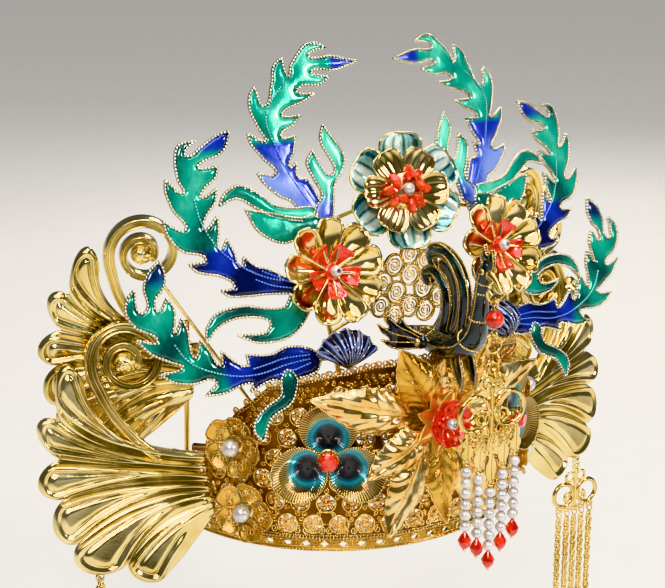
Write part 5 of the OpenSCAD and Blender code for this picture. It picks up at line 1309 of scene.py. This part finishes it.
# ---------------------------------------------------------------- phoenix
BIRD_AT = np.array([0, 2.7 - PANEL_R, FRONT_H])
HUB = np.array([0.0, -5, 9])
WING_SWEEP = np.radians(32)
BODY_ROWS, BODY_SIDES, SCALE_ROWS, SCALES_ROUND = 90, 42, 26, 7
# Rows along the middle plane: depth, height, half width and half thickness
SPINE = [[25, 5, 1.6, 1.6], [16, 5.5, 4.4, 3.6], [3, 7, 7, 5], [-11, 8, 8, 5.6], [-22, 11, 7, 5.6],
         [-28, 17.5, 4.8, 4.6], [-30.5, 27, 3.5, 3.4], [-31.5, 36, 2.9, 3], [-33.5, 43, 3.3, 3.6],
         [-35.5, 48, 2, 2.2]]
BEAK = [[-34, 44, 2.2, 2.6], [-37.5, 42.8, 1.9, 2.5], [-40.3, 41.2, 1.3, 2.0], [-42.6, 39.4, 0.9, 1.2],
        [-44.5, 37.5, 0.45, 0.6]]
OUTER_PLUME = [
    [-20, 12], [-23, 22], [-23.5, 33], [-18, 43], [-9, 48], [1, 48.5], [6, 44], [4, 39], [-1, 38], [1, 42],
    [-7, 43], [-14, 38], [-17, 30], [-16, 20], [-12, 10]]
INNER_PLUME = [
    [-7, 9], [-11, 18], [-12, 26], [-9, 34], [-2, 38.5], [5, 38], [9, 34], [6, 30], [2, 31], [3, 33.5],
    [-2, 33], [-5, 28], [-5, 20], [1, 8]]
PLUME_WEB = [
    [-12, 8], [-16, 20], [-17.3, 30], [-14.5, 38], [-7.5, 43], [-2, 40], [-8.5, 35], [-11.7, 26],
    [-10.5, 18], [-6.5, 8]]
CREST = [[-33, 44], [-31, 50], [-33, 55, 1], [-35, 51], [-38, 54, 1], [-39, 48], [-37, 44]]
BREAST_DROP = [[-16, 9], [-17, 2], [-20, -4], [-24, -9, 1], [-25, -2], [-23, 4], [-21, 10]]
BIRD_WING = [
    [-3, -2.6], [5, -3.4], [14, -4], [24, -3], [32, 1, 1], [25, 1], [31, 5], [35, 9.5, 1], [26, 7],
    [28, 11], [28, 15, 1], [20, 10.5], [17, 14, 1], [12, 9], [5, 5.5], [-2, 3]]
# Each plate: place across, outline, thickness, swell and radius of its grains
BIRD_PLATES = (
    (0, OUTER_PLUME, 3.2, 1.0, 0.5), (0, INNER_PLUME, 4.2, 1.0, 0.5), (0, PLUME_WEB, 1.6, 0.4, 0.5),
    (0, CREST, 1.8, 0.3, 0.36), (-3.4, BREAST_DROP, 1.6, 0.3, 0.36), (3.4, BREAST_DROP, 1.6, 0.3, 0.36))
NIGHT = ((0.0005, 0.001, 0.004), (0.001, 0.005, 0.018), (0.003, 0.035, 0.05))
LEAF_GREEN = ((0.0, 0.004, 0.004), (0.0, 0.03, 0.026), (0.01, 0.16, 0.11))
DARK_ENAMEL = enamel("dark_enamel", (NIGHT, LEAF_GREEN), 0.3, 0.2, 0.06)
MID_PLANE = sideways(1)


def body_tube(rows, along, sides, scales=0.0):
    """Rings of a spine in the middle plane: centre, half width and half depth blended along it.
    Overlapping feather scales swell each ring by a wave of the length and the way round."""
    rows = smooth_rows(rows, along)
    ahead = unit(np.gradient(rows[:, :2], axis=0))
    a = around(sides)
    s = np.linspace(0, 1, along)[:, None]
    shift = 0.5 * np.pi * (np.round(a * SCALES_ROUND / np.pi) % 2)
    swell = 1 + scales * np.abs(np.sin(s * SCALE_ROWS + shift)) * np.abs(np.cos(a * SCALES_ROUND / 2))
    x = rows[:, 2:3] * np.cos(a) * swell
    v = rows[:, 3:4] * np.sin(a) * swell
    y = rows[:, 0:1] - v * ahead[:, 1:2]
    z = rows[:, 1:2] + v * ahead[:, 0:1]
    points = np.stack([x, y, z], -1)
    last = (along - 1) * sides
    faces = [grid_faces(along, sides, False, True), np.arange(sides)[None, ::-1],
             last + np.arange(sides)[None, :]]
    return (points.reshape(-1, 3), faces), points


def bird_plate(bird, bird_rims, rows, thick, place, swell, grain):
    """Enamel plate with a beaded rim, standing on both sides of its own plane."""
    line = smooth_outline(rows, 6)
    points, faces, flat = plate(line, thick, enamel_dome(thick, swell))
    points[:, 2] += thick / 2
    shade = 0.28 + 0.22 * np.sin(flat[:, 0] / 2.2 + flat[:, 1] / 3.1)
    bird.add((points, faces), place, tone=ease(flat[:, 1], 12, 44) * 0.8, light=shade)
    for depth in (-thick * 0.32, thick * 0.32):
        bird_rims.add(beaded(level(line, depth), UP, grain, 1.05, True), place)


def phoenix_body():
    """Scaled body on its pin, beak, rows of grains, eyes, plumes, crest and breast drops."""
    bird, bird_rims = Shape(), Shape()
    tube, rings = body_tube(SPINE, BODY_ROWS, BODY_SIDES, 0.07)
    stripes = 0.12 + 0.5 * np.abs(np.sin(np.linspace(0, SCALE_ROWS, BODY_ROWS)))
    bird.add((tube[0] + BIRD_AT, tube[1]), tone=0.35, light=np.repeat(stripes, BODY_SIDES) * 0.6)
    bird.turn([[0.1, 0.3], [1.5, 0.3], [1.5, 5.3], [0.1, 5.3]], 16, (BIRD_AT, np.eye(3)))
    for x in (-1, 1):
        pin = np.linspace(HUB, HUB + [x * 12.8, 0, 0], 4)
        bird_rims.add(wire(pin + BIRD_AT, UP, 1.0, 14))
        bird_rims.turn([[0.1, 0], [1.7, 0.1], [1.9, 0.7], [1.2, 1.3], [0.1, 1.5]], 18,
                       (BIRD_AT + HUB + [x * 12.4, 0, 0], sideways(x)))
    tube, _ = body_tube(BEAK, 20, 20)
    bird_rims.add((tube[0] + BIRD_AT, tube[1]))
    for ring, r in ((24, 0.42), (44, 0.5), (56, 0.5), (68, 0.42), (74, 0.42)):
        bird_rims.add(beaded(rings[ring] + BIRD_AT, (0, 1, 0.3), r, 1.1, True))
    for k in (0, BODY_SIDES // 2):
        bird_rims.add(beaded(rings[6:84, k] * 1.01 + BIRD_AT, (1, 0, 0), 0.4, 1.1))
    for x in (-1, 1):
        eye = np.array([x * 3.1, -35.2, 44.6]) + BIRD_AT
        bird_rims.turn([[0.1, -0.6], [1.25, -0.4], [1.3, 0.3], [0.8, 0.55], [0.1, 0.5]], 16,
                       (eye, sideways(x)))
        bird.turn([[0.05, 0.3], [0.75, 0.4], [0.6, 0.85], [0.05, 1.0]], 14, (eye, sideways(x)),
                 tone=0.0, light=0.0)
    for x, rows, thick, swell, grain in BIRD_PLATES:
        bird_plate(bird, bird_rims, rows, thick, (BIRD_AT + [x, 0, 0], MID_PLANE), swell, grain)
    for rows in ([[-19, 14], [-20, 24], [-20, 33], [-15, 41], [-8, 45.5], [0, 45.3]],
                 [[-5, 12], [-8, 19], [-8.5, 26], [-6, 31.5], [0, 35.8], [5, 34.5]]):
        line = smooth_rows(rows, 40)
        for x in (-2.7, 2.7):
            bird_rims.add(beaded(level(line, x), UP, 0.3, 0.95), (BIRD_AT, MID_PLANE))
    bird.piece("phoenix_enamel", DARK_ENAMEL, "dark_enamel", ["phoenix_body"])
    bird_rims.piece("phoenix_grain_lines", RIM_GOLD, "pale_gold")


def phoenix_wings():
    """Small enamel wings with three lines of grains, each round the body's pin."""
    bird, bird_rims = Shape(), Shape()
    c, s = np.cos(WING_SWEEP), np.sin(WING_SWEEP)
    wing_axes = np.array([[c, s, 0], [0, 0, 1], [s, -c, 0]])
    rows = [[x * 0.52, y * 0.8, *corner] for x, y, *corner in BIRD_WING]
    hub = BIRD_AT + HUB + [9.4, 0, 0]
    place = (hub + [1.2, 0, 0], wing_axes)
    bird_plate(bird, bird_rims, rows, 1.4, place, 0.4, 0.42)
    for rows in ([[1, 0], [6, 0], [12, 0.2], [15, 0.6]], [[1, 1.2], [6, 2.6], [12, 4.2], [16, 6.6]],
                 [[0, 2], [5, 5], [9, 7], [13, 10.4]]):
        line = smooth_rows(rows, 24) * [0.95, 0.9]
        bird_rims.add(beaded(level(line, 1.05), UP, 0.28, 0.9), place)
    bird.turn([[1.4, 0], [2.8, 0], [3, 0.6], [2.8, 2.2], [1.4, 2.4]], 22, (hub, MID_PLANE),
              tone=0.5, light=0.3)
    pair(bird, "phoenix_wing_enamel", DARK_ENAMEL, "dark_enamel", ["phoenix_wing"])
    pair(bird_rims, "phoenix_wing_lines", RIM_GOLD, "pale_gold")


# ---------------------------------------------------------------- shell buds
BUD_AT, BUD_AXES = np.array([39.5, 10 - PANEL_R, FRONT_H + 7]), facing(16, 12)
ARM_R = 1.2
BUD = ((0.001, 0.003, 0.02), (0.004, 0.012, 0.11), (0.42, 0.52, 0.72))
BUD_ENAMEL = enamel("bud_enamel", (BUD, BLUE), 0.35, 0.5, 0.08)
FLUTES = 3.25


def shell_buds():
    """Fluted enamel shells with a silver line of grains in each groove, on short stems."""
    u, v = np.meshgrid(np.linspace(0, 1, 26), np.linspace(-1, 1, 85), indexing="ij")
    reach = 16.6 * (0.04 + 0.96 * u) * (1 + 0.025 * np.cos(v * np.pi * FLUTES * 2) * u)
    fan = np.radians(66) * v
    flutes = np.abs(np.cos(v * np.pi * FLUTES))
    bulge = 9 * np.sin(np.radians(14 + 160 * u)) ** 0.8 * (1 - v * v * 0.7)
    front = np.stack([reach * np.sin(fan) * 22 / 16 * 0.62, reach * np.cos(fan) - 8,
                      bulge + 1.1 * flutes * u ** 0.5], -1)
    back = np.stack([front[..., 0], front[..., 1], np.full_like(u, -0.8)], -1)
    # Light: a dark shell with painted highlights along the crests of the flutes
    light = np.concatenate([(0.12 + 0.7 * flutes**7 * ease(u, 0.05, 0.4)).ravel(), 0 * u.ravel()])
    bud = Shape().add(slab(front, back), (BUD_AT, BUD_AXES), tone=0.12, light=light)
    pair(bud, "bud_shell", BUD_ENAMEL, "bud_enamel", ["shell_bud"])
    seams = Shape()
    for k in range(-2, 4):
        j = (k - 0.5) / FLUTES * 0.995
        col = np.argmin(np.abs(v[0] - j))
        seams.add(beaded(front[2:, col] + [0, 0, 0.25], (0.3, 0, 1), 0.26, 0.85), (BUD_AT, BUD_AXES))
    seams.add(beaded(front[-1] + [0, 0, -0.1], UP, 0.4, 1.0), (BUD_AT, BUD_AXES))
    # The stem runs from the nearest place of the frame's arm, which holds the side flower
    arm_start = round_point(27, PANEL_R - ARM_R - SEAT - ARM_R, 60.0)
    arm_end = np.array(SIDE_FLOWER_AT) - (9.7 + SEAT + 1.7) * SIDE_FLOWER_AXES[2]
    arm = unit(arm_end - arm_start)
    nearest = arm_start + ((BUD_AT - arm_start) @ arm) * arm
    stem_foot = nearest + unit(BUD_AT - nearest) * (ARM_R + SEAT)
    seams.add(wire(np.linspace(stem_foot, BUD_AT - 0.6 * BUD_AXES[2], 5), UP, 1.0, 12))
    pair(seams, "bud_seams", SILVER_WIRE, "pale_gold")


# ---------------------------------------------------------------- pendant and tassels
HANG_AT = BIRD_AT + [0, -40.3, 41.2]
HANG_PIVOT = HANG_AT - [0, 0, 8.2]
STRING_STEP, CLOUD_D, CLOUD_WIRE = 6.1, 16.6, 2.0
CLOUD_Z, SCROLL_Z, PEARL_STEP, STRING_END = -27.28, -18.2, 4.72, 2.3
TAB_H, TAB_STEP, LUG_R = 22, 4, 1.65
TAB_ENDS = [-39.4, -43.9, -50.8, -43.9, -39.4]
CLOUD_PLACE = (HANG_PIVOT + [0, 0, CLOUD_Z], STANDING)


def ring_wire(x, z, r, wire_r, sides, count=48):
    """Closed round wire in a hanging piece's own plane."""
    return flat_wire(circle(r, count, x, z), wire_r, sides, closed=True)


def middle_line(low, high, count, out=0.0):
    """Straight line up the middle of a hanging piece."""
    return np.column_stack([np.zeros(count), np.linspace(low, high, count), np.full(count, out)])


def cloud_scroll(made, grains_, place, x, z, outer, wire_d, side):
    """Large ring whose wire runs inward as a curl, with a row of grains on its front."""
    r, small_r = (outer - wire_d) / 2, outer * 0.22
    made.add(ring_wire(x, z, r, wire_d / 2, 10, 64), place)
    curl = spiral(small_r - 0.6, 0.7, 1.15, side, 0.4, 30)
    a = np.radians(side * -60)
    cx, cz = x + outer * 0.26 * np.sin(a), z - outer * 0.26 * np.cos(a)
    made.add(ring_wire(cx, cz, small_r - 0.65, 0.68, 8, 36), place)
    made.add(flat_wire(curl + [cx, cz], 0.55, 8), place)
    grains_.add(beaded(level(circle(r, 90, x, z), wire_d / 2 - 0.05), UP, 0.34, 0.95, True), place)


def pendant():
    """Wire cloud of large and small rings with five tapered tabs, and the cut drops that end the
    pearl strings."""
    cloud, cloud_grains = Shape(), Shape()
    cloud.add(ring_wire(0, 0, 2.4, 0.6, 10), CLOUD_PLACE)
    for s in (-1, 1):
        cloud.add(ring_wire(s * 3.3, -5.6, 2.85, 0.78, 9), CLOUD_PLACE)
        inner = spiral(2.1, 0.5, 1.1, s, 1.0, 18)
        cloud.add(flat_wire(inner + [s * 3.3, -5.6], 0.45, 7), CLOUD_PLACE)
        cloud_scroll(cloud, cloud_grains, CLOUD_PLACE, s * (CLOUD_D / 2 + 0.45), SCROLL_Z, CLOUD_D,
                     CLOUD_WIRE, s)
        for x, z in ((1.7, -3.0), (0.8, -6.0)):
            at = (s * x * STRING_STEP, SCROLL_Z - CLOUD_D / 2 + z)
            cloud.add(ring_wire(*at, 3.4, 0.8, 9), CLOUD_PLACE)
            cloud.add(flat_wire(spiral(2.6, 0.5, 1.2, -s, 0.5, 18) + at, 0.42, 7), CLOUD_PLACE)
        # Two halves of a heart between the large rings, each a wire that ends in a curl
        half = smooth_rows([[0, -29, 0], [s * 2.2, -25.5, 0], [s * 3.6, -22, 0.3], [s * 3.2, -18.8, 0.6],
                            [s * 1.6, -17.6, 0.7], [s * 0.5, -18.6, 0.7], [s * 0.9, -20, 0.7],
                            [s * 1.9, -20, 0.7]], 40)
        cloud.add(wire(half, UP, 0.55, 8), CLOUD_PLACE)
    for row, count in ((-28.6, 7), (-31.4, 6), (-34.0, 5)):
        for k in range(count):
            small = spiral(1.9, 0.35, 1.5, 1 if k % 2 else -1, 1.3 * k + row, 15)
            small = small + [(k - (count - 1) / 2) * 3.5, row + 0.7 * abs(k - (count - 1) / 2)]
            cloud.add(flat_wire(small, 0.42, 6, 0.9), CLOUD_PLACE)
    cloud.add(wire(middle_line(-32, -6, 12), UP, 1.05, 10), CLOUD_PLACE)
    cloud_grains.add(beaded(middle_line(-31, -7.5, 60, 1.0), UP, 0.36, 0.95), CLOUD_PLACE)
    for i, end in enumerate(TAB_ENDS):
        x = (i - 2) * STRING_STEP
        top = end + TAB_H - TAB_STEP * abs(i - 2)
        y = np.linspace(0, 1, 30)[:, None]
        v = np.linspace(-1, 1, 9)[None, :]
        z = end + 2.6 + (top - end - 2.6) * y
        half = 0.9 + 1.5 * np.sin(np.pi * np.clip(y * 1.9, 0, 1)) * (y < 0.53) + 0 * v
        front = np.stack([x + v * half, z + 0 * v, 0.65 + 0.35 * (1 - np.abs(v)) + 0 * y], -1)
        back = np.stack([x + v * half, z + 0 * v, -0.7 + 0 * y * v], -1)
        cloud.add(slab(front, back), CLOUD_PLACE)
        cloud_grains.add(beaded(front[:, 4] + [0, 0, 0.05], UP, 0.26, 0.85), CLOUD_PLACE)
        for k in (0, 8):
            cloud.add(wire(front[:18, k] - [0, 0, 0.3], UP, 0.4, 6), CLOUD_PLACE)
        cloud.add(ring_wire(x, end + 2.4, LUG_R, 0.46, 8, 30), CLOUD_PLACE)
        cloud.turn([[0.55, 0.05], [1.3, 0.1], [1.5, 0.6], [0.9, 1.0], [0.55, 1.1]], 16,
                   (HANG_PIVOT + [x, 0, CLOUD_Z + end], np.eye(3)))
    cloud.piece("pendant_cloud_wires", BRIGHT_GOLD, "polished_gold", ["pendant_cloud"], "front_pendant")
    cloud_grains.piece("pendant_cloud_grains", RIM_GOLD, "pale_gold", body="front_pendant")
    drops = Shape()
    for i, end in enumerate(TAB_ENDS):
        z = CLOUD_Z + end - SEAT - STRING_END - 5 * PEARL_STEP - STRING_END - SEAT
        drops.add(cut_gem(5.6, 6.72, 10), (HANG_PIVOT + [(i - 2) * STRING_STEP, 0, z], -np.eye(3)))
    drops.piece("drop_stones_cut", RED_CRYSTAL, "red_crystal", ["string_stones"], "front_pendant",
                smooth=False)


PIVOT = TASSEL_EYE - [0, 0, EYE_R]
# The plate hangs by an upright link in the wing's eye, and each chain by a ring in a lug
LINK_L, LINK_WIRE, LUG_WIRE, CHAIN_RING_R = 4.9, 0.45, 0.6, 2.1
LINK_Z = np.hypot(LUG_WIRE, EYE_WIRE) + SEAT + LINK_WIRE - LINK_L / 2
LUG_REACH = np.hypot(0.8, EYE_WIRE) + SEAT + LINK_WIRE
PLATE_Z = LINK_Z - LINK_L / 2 + LUG_REACH - LUG_R
RING_Z, CHAIN_EYE_Z = -14.0, -21.6
TASSEL_PLACE = (PIVOT + [0, 0, PLATE_Z], STANDING)
CHAIN_X = [-10.0, -4.8, 0.0, 4.8, 10.0]
CHAIN_L, CHAIN_START, CHAIN_DROP = 103.5, -2.0, 106.4
FINE_L, FINE_W, FINE_R = 4.6, 4.2, 0.75
CHAIN_TOP = PLATE_Z + CHAIN_EYE_Z - LUG_R + LUG_REACH - 0.05 - CHAIN_RING_R


def chain(top, length):
    """Fine chain of oval links that face the front and the side by turns."""
    pitch = FINE_L - 2.6 * FINE_R
    b = around(10)
    across, up = (FINE_W / 2 - FINE_R) * np.cos(b), (FINE_L / 2 - FINE_R) * np.sin(b)
    for k in range(int(length / pitch)):
        z = top - FINE_L / 2 - k * pitch
        c, s = np.cos(k * np.pi / 2 + 0.35), np.sin(k * np.pi / 2 + 0.35)
        line = np.column_stack([across * c, across * s, z + up])
        yield wire(line, (-s, c, 0), FINE_R, 5, True)


def side_ring(r, z, wire_r, sides, count):
    """Closed round wire that faces the side."""
    line = circle(r, count, 0.0, z)
    return wire(np.column_stack([0 * line[:, 0], line]), (1, 0, 0), wire_r, sides, True)


def side_tassels():
    """Wire cloud that hangs from the wing's eye, and five fine chains below it with a drop on each."""
    tassel, tassel_grains, chains = Shape(), Shape(), Shape()
    tassel.add(side_ring(LINK_L / 2, LINK_Z, LINK_WIRE, 9, 36), (PIVOT, np.eye(3)))
    tassel.add(ring_wire(0, 0, LUG_R, LUG_WIRE, 9, 30), TASSEL_PLACE)
    for s in (-1, 1):
        tassel.add(ring_wire(s * 3.4, -4.9, 2.55, 0.75, 9, 36), TASSEL_PLACE)
        cloud_scroll(tassel, tassel_grains, TASSEL_PLACE, s * 7.4, RING_Z, 14.4, 2.3, s)
    tassel.add(wire(middle_line(CHAIN_EYE_Z, -1.2, 12), UP, 0.9, 9), TASSEL_PLACE)
    for x in CHAIN_X:
        tassel.add(ring_wire(x, CHAIN_EYE_Z, LUG_R, 0.55, 8, 26), TASSEL_PLACE)
        hang = PIVOT + [x, 0, CHAIN_TOP]
        chains.add(side_ring(CHAIN_RING_R, 0.0, 0.4, 8, 24), (hang, np.eye(3)))
        for link in chain(CHAIN_START, CHAIN_L):
            chains.add(link, (hang, np.eye(3)))
        chains.turn([[0.05, -1.9], [0.9, -1.75], [1.6, -0.9], [1.7, 0], [1.5, 0.8], [0.9, 1.55],
                                 [0.4, 1.9], [0.05, 1.95]], 18, (hang - [0, 0, CHAIN_DROP], np.eye(3)))
    pair(tassel, "tassel_cloud_wires", BRIGHT_GOLD, "polished_gold", ["tassel_cloud"], "tassel_{side}")
    pair(tassel_grains, "tassel_cloud_grains", RIM_GOLD, "pale_gold", body="tassel_{side}")
    pair(chains, "tassel_fine_chains", BRIGHT_GOLD, "polished_gold", ["tassel_chains"], "tassel_{side}")


# ---------------------------------------------------------------- finishes of the solids that stay
FRAME_GOLD = gold("frame_wire_gold", (0.66, 0.42, 0.10), (0.95, 0.70, 0.28), (0.16, 0.34), 1100, 0.03)
BAND_GOLD = gold("band_strip_gold", (0.30, 0.13, 0.02), (0.62, 0.35, 0.08), (0.2, 0.38), 1500, 0.05)


def thread_finish():
    """Twisted thread of the pearl strings."""
    f = Finish("string_thread")
    twist = (f.noise(2600, 3) + 0.2).span(0.3, 0.9)
    return f.feed(Base_Color=f.mix(twist, (0.55, 0.42, 0.20), (0.85, 0.74, 0.48)),
                  Roughness=twist.span(0, 1, 0.5, 0.75), Normal=f.relief(twist, 0.05))


KEPT = {"pierced_panel": PANEL_GOLD, "crown_frame": FRAME_GOLD, "base_band": BAND_GOLD,
        "beak_loop": BRIGHT_GOLD, "pendant_links": BRIGHT_GOLD, "pendant_bead": RED_CRYSTAL,
        "string_threads": thread_finish()}


def dress_solids():
    """Gives the solids that stay in sight their finish: all that KEPT doesn't name are pearls."""
    for name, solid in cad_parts.items():
        if not solid.hide_render:
            solid.data.materials.clear()
            solid.data.materials.append(KEPT.get(name, PEARL))


# ---------------------------------------------------------------- floor and light
# Half the floor and its gap below the chains, in metres
FLOOR_R, FLOOR_GAP = 25.0, 0.002
SKY, SKY_STRENGTH = (0.80, 0.82, 0.86, 1), 0.17
SUN_STRENGTH, SUN_SPREAD, SUN_TURN = 1.7, np.radians(50), (np.radians(18), np.radians(-22), 0)
LAMP_AIM = Vector((0, -0.03, 0.07))
# Each lamp: name, place, size in metres, power and tint
LAMPS = (("key", (-0.75, -1.15, 1.15), 0.34, 13, (1.0, 0.97, 0.93)),
         ("front", (0.7, -1.25, 0.75), 0.28, 14, (1.0, 0.98, 0.95)),
         ("top", (0.15, -0.1, 1.4), 0.5, 11, (0.97, 0.98, 1.0)),
         ("rim", (0.9, 0.9, 0.9), 0.4, 9, (1.0, 0.96, 0.9)))


def set_stage():
    """Pale level floor just below the longest chain, and soft studio lamps."""
    low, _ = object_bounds()
    mesh = bpy.data.meshes.new("floor")
    r, z = FLOOR_R, low.z - FLOOR_GAP
    mesh.from_pydata([(-r, -r, z), (r, -r, z), (r, r, z), (-r, r, z)], [], [(0, 1, 2, 3)])
    floor = bpy.data.objects.new("floor", mesh)
    bpy.context.scene.collection.objects.link(floor)
    f = Finish("pale_floor", Roughness=0.85)
    speck = f.noise(40, 3)
    mesh.materials.append(f.feed(Base_Color=f.mix(speck, (0.66, 0.64, 0.61), (0.72, 0.70, 0.67))))
    world = bpy.data.worlds.new("studio")
    bpy.context.scene.world = world
    world.use_nodes = True
    back = world.node_tree.nodes["Background"]
    back.inputs[0].default_value = SKY
    back.inputs[1].default_value = SKY_STRENGTH
    bpy.context.scene.view_settings.view_transform = "Khronos PBR Neutral"
    for name, at, size, power, tint in LAMPS:
        lamp = bpy.data.lights.new(name, "AREA")
        lamp.shape, lamp.size, lamp.energy, lamp.color = "DISK", size, power, tint
        there = bpy.data.objects.new(name, lamp)
        bpy.context.scene.collection.objects.link(there)
        there.location = at
        there.rotation_mode = "QUATERNION"
        there.rotation_quaternion = (LAMP_AIM - Vector(at)).to_track_quat("-Z", "Y")
    sun = bpy.data.lights.new("wide_lamp", "SUN")
    sun.energy, sun.angle, sun.color = SUN_STRENGTH, SUN_SPREAD, (1.0, 0.98, 0.95)
    there = bpy.data.objects.new("wide_lamp", sun)
    bpy.context.scene.collection.objects.link(there)
    there.rotation_euler = SUN_TURN


# ---------------------------------------------------------------- the crown, group by group
set_camera()
feather("upper_plume", UPPER, "upper_feather")
feather("middle_plume", MIDDLE, "middle_feather")
feather("lower_plume", LOWER, "lower_feather")
stamped_wing("lower_wing", LOWER_WING)
stamped_wing("upper_wing", UPPER_WING)
side_flowers()
top_flower()
enamel_flowers()
pearl_flower("upper", 59.7, 46.4)
pearl_flower("lower", 56.6, 17.6)
front_spray()
band_wirework()
panel_wirework()
ring_lattice()
phoenix_body()
phoenix_wings()
shell_buds()
pendant()
side_tassels()
dress_solids()
set_stage()
